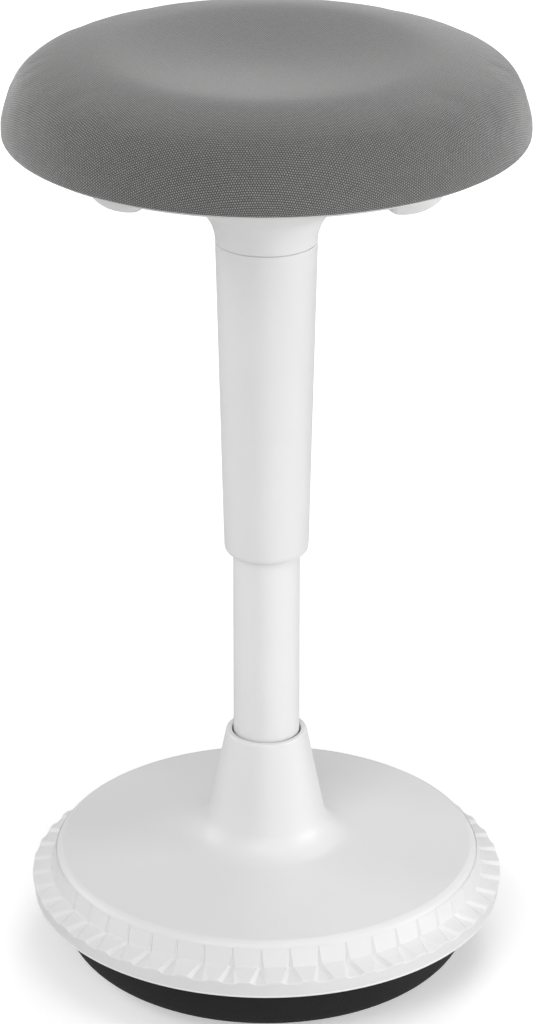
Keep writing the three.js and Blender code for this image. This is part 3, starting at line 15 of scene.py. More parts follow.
import bmesh
import bpy
import numpy as np
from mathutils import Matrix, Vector


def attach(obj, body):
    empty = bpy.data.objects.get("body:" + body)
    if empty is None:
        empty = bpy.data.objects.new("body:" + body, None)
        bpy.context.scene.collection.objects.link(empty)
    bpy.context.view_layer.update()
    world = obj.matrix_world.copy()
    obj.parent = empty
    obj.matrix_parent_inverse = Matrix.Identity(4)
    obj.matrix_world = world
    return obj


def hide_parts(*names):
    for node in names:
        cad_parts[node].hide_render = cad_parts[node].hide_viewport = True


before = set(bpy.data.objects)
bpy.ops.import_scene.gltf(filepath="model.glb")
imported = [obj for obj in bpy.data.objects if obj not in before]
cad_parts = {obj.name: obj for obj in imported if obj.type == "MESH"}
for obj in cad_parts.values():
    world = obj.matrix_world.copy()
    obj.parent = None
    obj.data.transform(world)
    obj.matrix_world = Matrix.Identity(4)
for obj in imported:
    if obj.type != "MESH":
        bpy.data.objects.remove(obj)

LOG = logging.getLogger("wobble_stool")
WELD = 1e-6
SMOOTH_BELOW = math.radians(32)
CLOUD_RANGE = (0.3, 0.7)

Point = tuple[float, float]
Outline = list[Point]
Colour = tuple[float, float, float]
Socket = bpy.types.NodeSocket


class Body(Enum):
    """Bodies of the stool that the new pieces ride on."""

    BASE = "base"
    SEAT = "seat"
    LEFT_LEVER = "left_lever"
    RIGHT_LEVER = "right_lever"


class Side(Enum):
    """Sides of the seat that a lever comes out on, by the sign of X."""

    LEFT = -1
    RIGHT = 1


class Slot(Enum):
    """Names of material slots."""

    BASE_PLASTIC = "base_plastic"
    SEAT_PLASTIC = "seat_plastic"
    PADDLE_PLASTIC = "paddle_plastic"
    TUBE_PAINT = "tube_paint"
    WOVEN_CLOTH = "woven_cloth"
    SOLE_RUBBER = "sole_rubber"
    FOAM = "foam"


# Outlines


def bezier(start: Point, start_handle: Point, end_handle: Point, end: Point, steps: int) -> Outline:
    """Points along a cubic curve.

    Args:
        start: First point.
        start_handle: Handle of the first point.
        end_handle: Handle of the last point.
        end: Last point.
        steps: Number of straight steps.

    Returns:
        The points, both ends among them.
    """
    path = []
    for step in range(steps + 1):
        t = step / steps
        weights = ((1 - t) ** 3, 3 * t * (1 - t) ** 2, 3 * t * t * (1 - t), t**3)
        corners = (start, start_handle, end_handle, end)
        path.append(tuple(sum(w * c[axis] for w, c in zip(weights, corners)) for axis in (0, 1)))
    return path


def offset(path: Outline, distance: float) -> Outline:
    """The same outline moved sideways.

    Args:
        path: Points of the outline.
        distance: How far it moves, to its left where positive.

    Returns:
        The moved points, as many as before.
    """
    points = [Vector(p) for p in path]
    moved = []
    for index, point in enumerate(points):
        incoming = (point - points[index - 1]).normalized() if index else None
        outgoing = (points[index + 1] - point).normalized() if index + 1 < len(points) else None
        incoming = incoming or outgoing
        outgoing = outgoing or incoming
        along = (incoming + outgoing).normalized()
        shift = Vector((-along.y, along.x)) * distance / max(along.dot(incoming), 0.3)
        moved.append((point.x + shift.x, point.y + shift.y))
    return moved


def height_on(path: Outline, radius: float) -> float:
    """Height of an outline at a distance from the axis.

    Args:
        path: Outline whose radius grows along it.
        radius: Distance from the axis.

    Returns:
        The height on the outline there.
    """
    return float(np.interp(radius, [p[0] for p in path], [p[1] for p in path]))


def upright(path: Outline) -> list[tuple[float, float, float]]:
    """An outline stood up in the XZ plane."""
    return [(radius, 0, height) for radius, height in path]


def four_spots(circle: float) -> list[Vector]:
    """Four places evenly round the column, the first midway between +X and +Y."""
    angles = [math.pi / 4 + quarter * math.pi / 2 for quarter in range(4)]
    return [Vector((math.cos(angle), math.sin(angle), 0)) * circle for angle in angles]


def four(stem: str) -> list[str]:
    """Names of four CAD nodes numbered from one."""
    return [f"{stem}_{number}" for number in range(1, 5)]


# Handwork


class Workpiece:
    """A mesh on the bench: one vertex at first, shaped in edit mode until it is handed over."""

    def __init__(self, name: str) -> None:
        """Put a single vertex at the origin.

        Args:
            name: Name of the piece.
        """
        bpy.ops.object.select_all(action="DESELECT")
        bpy.ops.mesh.primitive_plane_add(size=0.01)
        self.piece = bpy.context.object
        self.piece.name = self.piece.data.name = name
        bpy.ops.object.mode_set(mode="EDIT")
        bpy.ops.mesh.select_mode(type="VERT")
        bpy.ops.mesh.select_all(action="SELECT")
        bpy.ops.mesh.merge(type="CENTER")

    def draw(self, places: Iterable[Sequence[float]], closed: bool = False) -> None:
        """Extrude the single vertex from place to place.

        Args:
            places: Places along the line.
            closed: Whether an edge joins the last place to the first.
        """
        spots = list(places)
        self.move(spots[0])
        for here, there in zip(spots, spots[1:]):
            step = tuple(new - old for old, new in zip(here, there))
            bpy.ops.mesh.extrude_region_move(TRANSFORM_OT_translate={"value": step})
        if closed:
            ends = Vector(spots[0]), Vector(spots[-1])
            self.select(lambda spot: min((spot - end).length for end in ends) < WELD)
            bpy.ops.mesh.edge_face_add()

    def pick(self, mode: str, wanted: Callable[[bmesh.types.BMesh], list]) -> int:
        """Select parts of the mesh, and nothing else.

        Args:
            mode: VERT, EDGE or FACE.
            wanted: Gives the vertices, edges or faces to select.

        Returns:
            How many are selected.
        """
        bpy.ops.mesh.select_mode(type=mode)
        bpy.ops.mesh.select_all(action="DESELECT")
        mesh = bmesh.from_edit_mesh(self.piece.data)
        found = wanted(mesh)
        for part in found:
            part.select_set(True)
        if mode == "VERT":
            mesh.select_flush(True)
        bmesh.update_edit_mesh(self.piece.data)
        return len(found)

    def select(self, test: Callable[[Vector], bool]) -> int:
        """Select the vertices whose place passes a test, and say how many there are."""
        return self.pick("VERT", lambda mesh: [vertex for vertex in mesh.verts if test(vertex.co)])

    def select_edges(self, test: Callable[[Vector, Vector], bool]) -> int:
        """Select the edges whose two ends pass a test, and say how many there are."""
        return self.pick(
            "EDGE", lambda mesh: [edge for edge in mesh.edges if test(*(end.co for end in edge.verts))])

    def select_all(self) -> None:
        """Select the whole mesh."""
        bpy.ops.mesh.select_all(action="SELECT")

    def move(self, value: Sequence[float]) -> None:
        """Move what is selected."""
        bpy.ops.transform.translate(value=value)

    def turn(self, angle: float) -> None:
        """Turn what is selected about the column, anticlockwise from above."""
        bpy.ops.transform.rotate(value=-angle, orient_axis="Z", center_override=(0, 0, 0))

    def spin(self, steps: int, angle: float = math.tau) -> None:
        """Sweep the whole mesh about the column into a surface.

        Args:
            steps: Number of steps of the sweep.
            angle: The sweep, anticlockwise from above.
        """
        self.select_all()
        bpy.ops.mesh.spin(steps=steps, angle=-angle, center=(0, 0, 0), axis=(0, 0, 1), dupli=False)
        self.weld()

    def repeat(self, count: int) -> None:
        """Copy the whole mesh round the column.

        Args:
            count: How many there are in the end, evenly spaced.
        """
        self.select_all()
        sweep = -math.tau * (count - 1) / count
        bpy.ops.mesh.spin(steps=count - 1, angle=sweep, center=(0, 0, 0), axis=(0, 0, 1), dupli=True)
        self.weld()

    def weld(self, distance: float = WELD * 5) -> None:
        """Merge doubled vertices and turn every face outwards."""
        self.select_all()
        bpy.ops.mesh.remove_doubles(threshold=distance)
        bpy.ops.mesh.normals_make_consistent(inside=False)

    def round_edges(self, width: float, segments: int) -> None:
        """Bevel the selected edges."""
        bpy.ops.mesh.bevel(offset=width, segments=segments, affect="EDGES", clamp_overlap=True)

    def hand_over(self, smooth_angle: float) -> bpy.types.Object:
        """Leave edit mode and shade the piece.

        Args:
            smooth_angle: Edges that bend less than this are shaded smooth.

        Returns:
            The finished object.
        """
        self.weld()
        bpy.ops.object.mode_set(mode="OBJECT")
        bpy.ops.object.shade_smooth_by_angle(angle=smooth_angle)
        return self.piece


def lathe(name: str, outline: Outline, sides: int, closed: bool = True) -> bpy.types.Object:
    """Turn an outline about the column.

    Args:
        name: Name of the piece.
        outline: Distances from the axis and heights.
        sides: Number of sides round the column.
        closed: Whether the outline is a loop; one that ends on the axis at both ends is not.

    Returns:
        The turned object.
    """
    work = Workpiece(name)
    work.draw(upright(outline), closed)
    work.spin(sides)
    return work.hand_over(SMOOTH_BELOW)


def modifier(piece: bpy.types.Object, kind: str, **settings: object) -> None:
    """Put a modifier on a piece and apply it.

    Args:
        piece: The object that is finished.
        kind: Blender's name for the modifier.
        **settings: Its settings by name.
    """
    bpy.ops.object.select_all(action="DESELECT")
    bpy.context.view_layer.objects.active = piece
    piece.select_set(True)
    added = piece.modifiers.new(kind.lower(), kind)
    for key, value in settings.items():
        setattr(added, key, value)
    bpy.ops.object.modifier_apply(modifier=added.name)


def cling(piece: bpy.types.Object, target: bpy.types.Object, **settings: object) -> None:
    """Lay every vertex of a piece on the nearest point of another body."""
    modifier(piece, "SHRINKWRAP", target=target, wrap_method="NEAREST_SURFACEPOINT", **settings)


def carve(piece: bpy.types.Object, tool: bpy.types.Object, operation: str = "DIFFERENCE") -> None:
    """Cut a tool's shape out of a piece, or join it on, and put the tool away.

    Args:
        piece: The object that is worked on.
        tool: The cutting or joining shape, removed afterwards.
        operation: DIFFERENCE to cut, UNION to join.
    """
    modifier(piece, "BOOLEAN", operation=operation, object=tool, solver="EXACT")
    bpy.data.objects.remove(tool)


def rod_tool(radius: float, low: Vector, high: Vector, sides: int = 32) -> bpy.types.Object:
    """An upright round tool between two points.

    Args:
        radius: Radius of the tool.
        low: Middle of its foot.
        high: Middle of its top.
        sides: Number of sides.

    Returns:
        The tool, its place in its mesh.
    """
    bpy.ops.object.select_all(action="DESELECT")
    middle = (low + high) / 2
    bpy.ops.mesh.primitive_cylinder_add(
        vertices=sides, radius=radius, depth=(high - low).length, location=middle)
    bpy.ops.object.transform_apply(location=True, rotation=True, scale=True)
    return bpy.context.object


def coordinates(piece: bpy.types.Object) -> np.ndarray:
    """Places of all vertices of a piece, one row each."""
    places = np.empty(len(piece.data.vertices) * 3)
    piece.data.vertices.foreach_get("co", places)
    return places.reshape(-1, 3)


def place(piece: bpy.types.Object, places: np.ndarray) -> None:
    """Give every vertex of a piece a new place."""
    piece.data.vertices.foreach_set("co", places.ravel())
    piece.data.update()


# Finishes


class Recipe:
    """Node tree of one finish: a shader and the nodes that feed it."""

    def __init__(self, name: str) -> None:
        """Start a material with a bare shader.

        Args:
            name: Name of the material.
        """
        self.material = bpy.data.materials.new(name)
        self.material.use_nodes = True
        self.tree = self.material.node_tree
        self.shader = self.tree.nodes["Principled BSDF"]
        self.places = self.node("TexCoord").outputs["Object"]

    def node(self, kind: str, **inputs: object) -> bpy.types.Node:
        """Add a node, its inputs linked where they are sockets and set where they are values.

        Args:
            kind: Blender's name for the node, without its prefix.
            **inputs: Values or sockets by input name, spaces written as underscores.

        Returns:
            The new node.
        """
        made = self.tree.nodes.new("ShaderNode" + kind)
        for key, value in inputs.items():
            self.feed(made.inputs[key.replace("_", " ")], value)
        return made

    def feed(self, socket: Socket, value: object) -> None:
        """Link a socket to another, or set its value."""
        if isinstance(value, Socket):
            self.tree.links.new(value, socket)
        else:
            socket.default_value = value

    def set(self, **values: object) -> None:
        """Set or link the shader's own inputs, spaces in their names written as underscores."""
        for key, value in values.items():
            self.feed(self.shader.inputs[key.replace("_", " ")], value)

    def noise(self, scale: float, detail: float = 2, stretch: Sequence[float] = (1, 1, 1)) -> Socket:
        """A cloudy pattern on the object's own coordinates.

        Args:
            scale: Features to the metre.
            detail: Octaves of finer detail.
            stretch: Scale along each axis.

        Returns:
            The pattern's value, about a half on average.
        """
        mapped = self.node("Mapping", Vector=self.places, Scale=stretch)
        return self.node("TexNoise", Vector=mapped.outputs[0], Scale=scale, Detail=detail).outputs["Fac"]

    def math(self, operation: str, *values: object) -> Socket:
        """A sum on numbers.

        Args:
            operation: Blender's name for it.
            *values: Numbers or sockets.

        Returns:
            The result.
        """
        made = self.node("Math")
        made.operation = operation
        for socket, value in zip(made.inputs, values):
            self.feed(socket, value)
        return made.outputs[0]

    def ramp(self, value: object, low: float, high: float, start: float = 0, end: float = 1) -> Socket:
        """Map a value from one range to another.

        Args:
            value: The number or socket.
            low: Value that becomes start.
            high: Value that becomes end.
            start: Result at low.
            end: Result at high.

        Returns:
            The mapped value, held inside the new range.
        """
        made = self.node("MapRange")
        for socket, number in zip(made.inputs, (value, low, high, start, end)):
            self.feed(socket, number)
        return made.outputs[0]

    def spread(self, cloud: object, start: float = 0, end: float = 1) -> Socket:
        """Map a cloudy pattern's usual range to another."""
        return self.ramp(cloud, *CLOUD_RANGE, start, end)

    def blend(self, share: object, first: object, second: object) -> Socket:
        """Mix two colours.

        Args:
            share: How much of the second there is, as a number or socket.
            first: Colour or socket.
            second: Colour or socket.

        Returns:
            The mixed colour.
        """
        made = self.node("Mix")
        made.data_type = "RGBA"
        self.feed(made.inputs[0], share)
        for socket, colour in zip(made.inputs[6:8], (first, second)):
            self.feed(socket, colour if isinstance(colour, Socket) else (*colour, 1))
        return made.outputs[2]

    def relief(self, height: object, distance: float, strength: float = 1, under: object = None) -> Socket:
        """Raise a surface by a pattern.

        Args:
            height: Pattern from zero to one.
            distance: Height in metres that one stands for.
            strength: How strongly it shows.
            under: Relief that this one lies on.

        Returns:
            The bent normal.
        """
        made = self.node("Bump", Height=height, Distance=distance, Strength=strength)
        if under is not None:
            self.feed(made.inputs["Normal"], under)
        return made.outputs[0]


def shaded(colour: Colour, factor: float) -> Colour:
    """A colour made darker or lighter by a factor."""
    return tuple(min(channel * factor, 1.0) for channel in colour)


@dataclass(frozen=True)
class Finish:
    """What a piece is made of: the base of the finishes."""

    name: str
    colour: Colour

    def mix(self, recipe: Recipe) -> None:
        """Feed the recipe's shader."""
        raise NotImplementedError


@dataclass(frozen=True)
class MouldedPlastic(Finish):
    """Injection-moulded plastic: a faint spark-eroded grain and slow, pale mottling."""

    roughness: float
    grain: float = 0.00003
    grain_scale: float = 1400

    def mix(self, recipe: Recipe) -> None:
        """Feed the recipe's shader."""
        slow = recipe.spread(recipe.noise(9, 3))
        fine = recipe.noise(self.grain_scale, 3)
        tone = recipe.blend(slow, shaded(self.colour, 0.975), shaded(self.colour, 1.01))
        speckle = recipe.ramp(fine, 0.35, 0.65, 0, 0.05)
        recipe.set(
            Base_Color=recipe.blend(speckle, tone, shaded(self.colour, 0.8)),
            Roughness=recipe.spread(fine, self.roughness - 0.05, self.roughness + 0.07),
            Normal=recipe.relief(fine, self.grain, 0.6),
        )


@dataclass(frozen=True)
class PaintedSteel(Finish):
    """Powder-coated steel: a soft gloss over fine orange peel."""

    def mix(self, recipe: Recipe) -> None:
        """Feed the recipe's shader."""
        peel = recipe.noise(420, 2)
        slow = recipe.spread(recipe.noise(14, 2))
        recipe.set(
            Base_Color=recipe.blend(slow, shaded(self.colour, 0.98), self.colour),
            Roughness=recipe.spread(peel, 0.3, 0.38),
            Normal=recipe.relief(peel, 0.00004, 0.5),
            Coat_Weight=0.3,
            Coat_Roughness=0.2,
        )


@dataclass(frozen=True)
class WovenCloth(Finish):
    """Grey melange upholstery: small round stitches in a lattice of equilateral triangles, the gaps between
    them painted dark as painted shade.
    """

    # Dark colour painted into the gaps between the stitches: painted shade in their recesses.
    painted_gap_shade: Colour
    pitch: float = 0.0019

    def mix(self, recipe: Recipe) -> None:
        """Feed the recipe's shader."""
        wrap = recipe.node("UVMap").outputs[0]
        wander = recipe.node("TexNoise", Vector=wrap, Scale=70, Detail=2).outputs["Color"]
        lattice = self.lattice(recipe, wrap, wander)
        fibre = recipe.node("TexNoise", Vector=wrap, Scale=900, Detail=4).outputs["Fac"]
        fleck = recipe.node("TexVoronoi", Vector=wrap, Scale=1 / self.pitch).outputs["Color"]
        fleck = recipe.node("SeparateColor", Color=fleck).outputs[0]
        slow = recipe.noise(16, 3)
        yarn = recipe.blend(recipe.ramp(fleck, 0, 1, 0, 0.55), self.colour, shaded(self.colour, 0.55))
        yarn = recipe.blend(recipe.ramp(fibre, 0.35, 0.65, 0, 0.35), yarn, shaded(self.colour, 1.6))
        yarn = recipe.blend(recipe.spread(slow, 0, 0.12), yarn, shaded(self.colour, 0.7))
        stitch = recipe.relief(lattice, 0.0004, 0.6)
        recipe.set(
            # Painted shade: the gaps between the stitches take the dark gap colour, the stitches the yarn.
            Base_Color=recipe.blend(recipe.ramp(lattice, 0.12, 0.62), self.painted_gap_shade, yarn),
            Roughness=recipe.spread(fibre, 0.86, 0.98),
            Normal=recipe.relief(fibre, 0.00012, 0.5, stitch),
            Specular_IOR_Level=0.2,
            Sheen_Weight=0.7,
            Sheen_Roughness=0.45,
        )

    def lattice(self, recipe: Recipe, wrap: Socket, wander: Socket) -> Socket:
        """Height of the stitches, from three waves that cross at 60 degrees.

        Args:
            recipe: The material that is built.
            wrap: Coordinates that follow the cloth.
            wander: Colour pattern that pulls the rows a little out of line.

        Returns:
            Zero in the gaps and one on the stitches.
        """
        pull = recipe.node("VectorMath")
        pull.operation = "MULTIPLY_ADD"
        for socket, value in zip(pull.inputs, (wander, (0.0012, 0.0012, 0), wrap)):
            recipe.feed(socket, value)
        pace = 2 * math.tau / (math.sqrt(3) * self.pitch)
        waves = []
        for angle in (math.radians(30), math.radians(90), math.radians(150)):
            along = recipe.node("VectorMath")
            along.operation = "DOT_PRODUCT"
            direction = (pace * math.cos(angle), pace * math.sin(angle), 0)
            for socket, value in zip(along.inputs, (pull.outputs[0], direction)):
                recipe.feed(socket, value)
            waves.append(recipe.math("COSINE", along.outputs["Value"]))
        total = recipe.math("ADD", recipe.math("ADD", waves[0], waves[1]), waves[2])
        return recipe.ramp(total, -1.5, 3)


@dataclass(frozen=True)
class SoleRubber(Finish):
    """Black moulded rubber, matt, with a pebble grain and a little dust where it meets the floor."""

    dust_height: float = 0.006

    def mix(self, recipe: Recipe) -> None:
        """Feed the recipe's shader."""
        grain = recipe.noise(1100, 4)
        slow = recipe.ramp(recipe.noise(24, 3), 0.35, 0.7)
        height = recipe.node("SeparateXYZ", Vector=recipe.places).outputs[2]
        low = recipe.ramp(height, 0, self.dust_height, 1, 0)
        scuffs = recipe.ramp(recipe.noise(60, 5, (1, 4, 1)), 0.5, 0.75)
        dust = recipe.math("MULTIPLY", recipe.math("MULTIPLY", low, scuffs), 0.5)
        body = recipe.blend(slow, self.colour, shaded(self.colour, 1.25))
        recipe.set(
            Base_Color=recipe.blend(dust, body, (0.09, 0.085, 0.08)),
            Roughness=recipe.spread(grain, 0.62, 0.78),
            Normal=recipe.relief(grain, 0.00006, 0.7),
            Specular_IOR_Level=0.35,
        )


@dataclass(frozen=True)
class MouldedFoam(Finish):
    """Cold-cured seat foam: open cells under a thin skin."""

    def mix(self, recipe: Recipe) -> None:
        """Feed the recipe's shader."""
        cells = recipe.node("TexVoronoi", Vector=recipe.places, Scale=900).outputs["Distance"]
        slow = recipe.spread(recipe.noise(20, 3))
        body = recipe.blend(slow, self.colour, shaded(self.colour, 0.88))
        recipe.set(
            Base_Color=recipe.blend(recipe.ramp(cells, 0.2, 0.7), body, shaded(self.colour, 0.6)),
            Roughness=recipe.ramp(cells, 0, 0.7, 0.85, 0.97),
            Normal=recipe.relief(cells, 0.0005, 0.6),
        )


@dataclass(frozen=True)
class Plywood(Finish):
    """Birch plywood: long grain on the faces and thin plies along the edge."""

    dark: Colour
    ply: float = 0.0015

    def mix(self, recipe: Recipe) -> None:
        """Feed the recipe's shader."""
        grain = recipe.noise(90, 5, (1, 14, 1))
        height = recipe.node("SeparateXYZ", Vector=recipe.places).outputs[2]
        plies = recipe.math("SINE", recipe.math("MULTIPLY", height, math.tau / (2 * self.ply)))
        upright = recipe.node("SeparateXYZ", Vector=recipe.node("NewGeometry").outputs["Normal"]).outputs[2]
        edge = recipe.ramp(recipe.math("ABSOLUTE", upright), 0.3, 0.6, 1, 0)
        face = recipe.blend(recipe.ramp(grain, 0.35, 0.7), self.colour, self.dark)
        side = recipe.blend(recipe.ramp(plies, -0.3, 0.3), shaded(self.dark, 0.75), self.colour)
        recipe.set(
            Base_Color=recipe.blend(edge, face, side),
            Roughness=recipe.spread(grain, 0.55, 0.72),
            Normal=recipe.relief(grain, 0.0001, 0.5),
        )


@dataclass(frozen=True)
class CastIron(Finish):
    """Sand-cast iron: dark, coarse and slightly uneven."""

    def mix(self, recipe: Recipe) -> None:
        """Feed the recipe's shader."""
        sand = recipe.noise(500, 5)
        slow = recipe.ramp(recipe.noise(30, 4), 0.3, 0.75)
        recipe.set(
            Base_Color=recipe.blend(slow, self.colour, shaded(self.colour, 1.5)),
            Metallic=0.6,
            Roughness=recipe.spread(sand, 0.6, 0.85),
            Normal=recipe.relief(sand, 0.0003, 0.8),
        )


@dataclass(frozen=True)
class Steel(Finish):
    """Turned or rolled steel: fine marks that run round the column or along the sheet."""

    roughness: float
    marks: float
    mark_stretch: tuple[float, float, float]

    def mix(self, recipe: Recipe) -> None:
        """Feed the recipe's shader."""
        marks = recipe.noise(self.marks, 3, self.mark_stretch)
        stain = recipe.ramp(recipe.noise(55, 4), 0.35, 0.75)
        recipe.set(
            Base_Color=recipe.blend(stain, self.colour, shaded(self.colour, 0.82)),
            Metallic=0.95,
            Roughness=recipe.spread(marks, self.roughness - 0.06, self.roughness + 0.1),
            Normal=recipe.relief(marks, 0.00003, 0.5),
        )


BASE_PLASTIC = MouldedPlastic("white_base_plastic", (0.80, 0.80, 0.80), 0.42)
SEAT_PLASTIC = MouldedPlastic("white_seat_plastic", (0.79, 0.79, 0.79), 0.42)
PADDLE_PLASTIC = MouldedPlastic("white_paddle_plastic", (0.76, 0.76, 0.76), 0.4)
BLACK_PLASTIC = MouldedPlastic("black_tray_plastic", (0.018, 0.018, 0.019), 0.55, 0.00006, 900)
NYLON = MouldedPlastic("slide_nylon", (0.62, 0.6, 0.54), 0.38, 0.00002)
SEAL_RUBBER = SoleRubber("seal_rubber", (0.012, 0.012, 0.012), 0.0001)
TUBE_PAINT = PaintedSteel("white_tube_paint", (0.84, 0.84, 0.84))
# Its second colour is painted shade, for the gaps between the stitches.
SEAT_CLOTH = WovenCloth("grey_woven_cloth", (0.255, 0.256, 0.25), (0.06, 0.06, 0.059))
SOLE_RUBBER = SoleRubber("black_sole_rubber", (0.006, 0.006, 0.0062))
SEAT_FOAM = MouldedFoam("seat_foam", (0.78, 0.7, 0.42))
BOARD_PLY = Plywood("birch_plywood", (0.62, 0.43, 0.24), (0.46, 0.28, 0.13))
BALLAST_IRON = CastIron("cast_iron", (0.045, 0.045, 0.048))
BLACK_STEEL = Steel("black_steel", (0.035, 0.035, 0.037), 0.48, 260, (1, 1, 1))
BRIGHT_STEEL = Steel("bright_steel", (0.55, 0.56, 0.57), 0.26, 700, (0.1, 0.1, 6))


@cache
def material(finish: Finish) -> bpy.types.Material:
    """The one material of a finish, built when it is first wanted."""
    recipe = Recipe(finish.name)
    finish.mix(recipe)
    return recipe.material


def dress(finish: Finish, names: Iterable[str]) -> None:
    """Give CAD nodes that stay a better finish.

    Args:
        finish: What they are made of.
        names: Names of the nodes.
    """
    for name in names:
        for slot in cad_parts[name].material_slots:
            slot.material = material(finish)
        LOG.info("kept %s in %s", name, finish.name)


def hand_in(piece: bpy.types.Object, finish: Finish, body: Body, node: str) -> None:
    """Give a new piece its finish and put it on its body, in place of the node it stands for.

    Args:
        piece: The shaped object.
        finish: What it is made of.
        body: Body that it moves with.
        node: CAD node that it replaces.
    """
    piece.data.materials.clear()
    piece.data.materials.append(material(finish))
    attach(piece, body.value)
    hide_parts(node)
    LOG.info("built %s, %d faces", piece.name, len(piece.data.polygons))


# Base


@dataclass
class TreadRow:
    """One ring of points on the outside of the tread, and how far its pocket is sunk."""

    radius: float
    height: float
    mouth: float
    floor: float = 0
    sink: Point = (0.0, 0.0)


@dataclass
class RockingBase:
    """White base shell with its pocketed tread, black rubber sole, and the ballast inside."""

    rim_radius: float = 0.1784
    rim_bottom: float = 0.055
    rim_top_radius: float = 0.1805
    rim_top: float = 0.0686
    wall_foot_radius: float = 0.166
    wall_foot: float = 0.0732
    disc_radius: float = 0.1615
    disc_edge: float = 0.0885
    disc_top: float = 0.0995
    cone_foot_radius: float = 0.0442
    cone_foot: float = 0.118
    fillet_handle: float = 0.00925
    fillet_reach: float = 0.024
    edge_round: float = 0.005
    edge_lean: float = 0.225
    collar_radius: float = 0.0308
    collar_top: float = 0.187
    lip_foot: Point = (0.0260, 0.178)
    lip_inner: tuple[Point, ...] = ((0.0260, 0.1856), (0.0260, 0.1864), (0.0264, 0.1870), (0.0272, 0.1870))
    lip_outer: tuple[Point, ...] = ((0.0290, 0.1870), (0.0301, 0.1870), (0.0307, 0.1862), (0.0309, 0.1850))
    shell_wall: float = 0.003
    lining_top: float = 0.1168
    pocket_count: int = 48
    pocket_depth: float = 0.0018
    mouth_share: float = 0.71
    floor_share: float = 0.39
    groove_width: float = 0.0044
    groove_share: float = 0.85
    groove_lean: float = 0.3
    groove_taper: float = 0.3
    brow: Point = (0.0006, 0.004)
    rim_rounding: tuple[Point, ...] = ((0.00015, 0.0014), (0.0005, 0.0009), (0.0005, 0.0003), (0.0002, 0))
    near: float = 0.0002
    easing: float = 0.0008
    sole_radius: float = 0.159
    sole_top: float = 0.0568
    sole_wall: float = 0.007
    foot_radius: float = 0.0771
    sole_handles: tuple[Point, Point] = ((0.1554, 0.0048), (0.159, 0.016))
    sole_edge: float = 0.0006
    grip_radii: tuple[float, ...] = (0.034, 0.042, 0.050, 0.058, 0.066)
    grip_groove: tuple[Point, ...] = ((0, 0), (0.0004, 0.0009), (0.0018, 0.0009), (0.0022, 0))
    boss_circle: float = 0.1703
    boss_radius: float = 0.0042
    boss_foot: float = 0.0604
    boss_top: float = 0.0674
    pilot_radius: float = 0.0021
    pilot_depth: float = 0.006
    overrun: float = 0.002
    smooth_below: float = math.radians(17)

    def build(self) -> None:
        """Build and dress everything that stands on the floor."""
        shell = self.shell()
        hand_in(shell, BASE_PLASTIC, Body.BASE, "base_shell")
        sole = self.sole()
        hand_in(sole, SOLE_RUBBER, Body.BASE, "rubber_sole")
        dress(BLACK_PLASTIC, ["base_plate"])
        dress(BALLAST_IRON, ["counterweight"])
        dress(BLACK_STEEL, ["column_socket"])
        dress(BRIGHT_STEEL, four("socket_bolt"))
        dress(BLACK_STEEL, four("shell_screw"))

    @property
    def pitch(self) -> float:
        """Angle from pocket to pocket."""
        return math.tau / self.pocket_count

    def outside(self) -> tuple[Outline, Outline, list[TreadRow]]:
        """Outline of the shell's outside.

        Returns:
            The collar's lip, the cone and disc down to the top of the wall, and the tread's rows below it.
        """
        foot, top, handle = self.cone_foot_radius, self.disc_top, self.fillet_handle
        slope = (foot - self.collar_radius) / (self.collar_top - self.cone_foot)
        lip = [self.lip_foot, *bezier(*self.lip_inner, 7), *bezier(*self.lip_outer, 7)]
        fillet = bezier(
            (foot, self.cone_foot), (foot + slope * handle, self.cone_foot - handle),
            (foot + handle, top), (foot + self.fillet_reach, top), 14)
        disc, brink, turn = self.disc_radius, self.disc_edge, self.edge_round
        edge = bezier(
            (disc - turn, brink + turn / 2), (disc - turn / 2, brink + turn / 4),
            (disc, brink), (disc + turn * self.edge_lean, brink - turn), 8)
        groove = self.groove_width / 2 / self.wall_foot_radius
        pocket = self.pitch / 2 * self.mouth_share, self.pitch / 2 * self.floor_share
        top_height = self.wall_foot + (brink - self.wall_foot) * self.groove_share
        top_radius = self.wall_foot_radius - (top_height - self.wall_foot) * self.groove_lean
        depth = self.pocket_depth
        rounding = [(self.rim_radius + out, self.rim_bottom + up) for out, up in self.rim_rounding]
        rows = [
            TreadRow(top_radius, top_height, groove * self.groove_taper),
            TreadRow(self.wall_foot_radius, self.wall_foot, groove, 0, (-depth, -depth)),
            TreadRow(self.rim_top_radius, self.rim_top, *pocket, (0, -depth)),
            TreadRow(self.rim_top_radius - self.brow[0], self.rim_top - self.brow[1], *pocket),
            *[TreadRow(*place, *pocket) for place in rounding],
        ]
        return lip, [*fillet, *edge[:-1]], rows

    def shell(self) -> bpy.types.Object:
        """Model one tread pitch of the shell, then copy it round the column.

        Returns:
            The base shell.
        """
        lip, skin, rows = self.outside()
        surface = [*lip, *skin, *[(row.radius, row.height) for row in rows]]
        rim = [(self.rim_top_radius, self.rim_top), (self.rim_radius, self.rim_bottom)]
        inside = offset([*skin, (self.wall_foot_radius, self.wall_foot), *rim], -self.shell_wall)
        inside[0] = (inside[0][0], self.lining_top)
        inside[-1] = (inside[-1][0], self.rim_bottom)
        closing = [(self.collar_radius - self.shell_wall, self.lip_foot[1])]
        work = Workpiece("white_base_shell")
        work.draw(upright(surface + inside[::-1] + closing), closed=True)
        work.select_all()
        work.turn(-math.pi / 2 - self.pitch / 2)
        work.spin(6, self.pitch)
        for row in rows:
            self.sink(work, row)
        work.repeat(self.pocket_count)
        self.ease_tread(work)
        shell = work.hand_over(self.smooth_below)
        self.add_bosses(shell)
        modifier(shell, "WEIGHTED_NORMAL", keep_sharp=True, weight=60)
        return shell

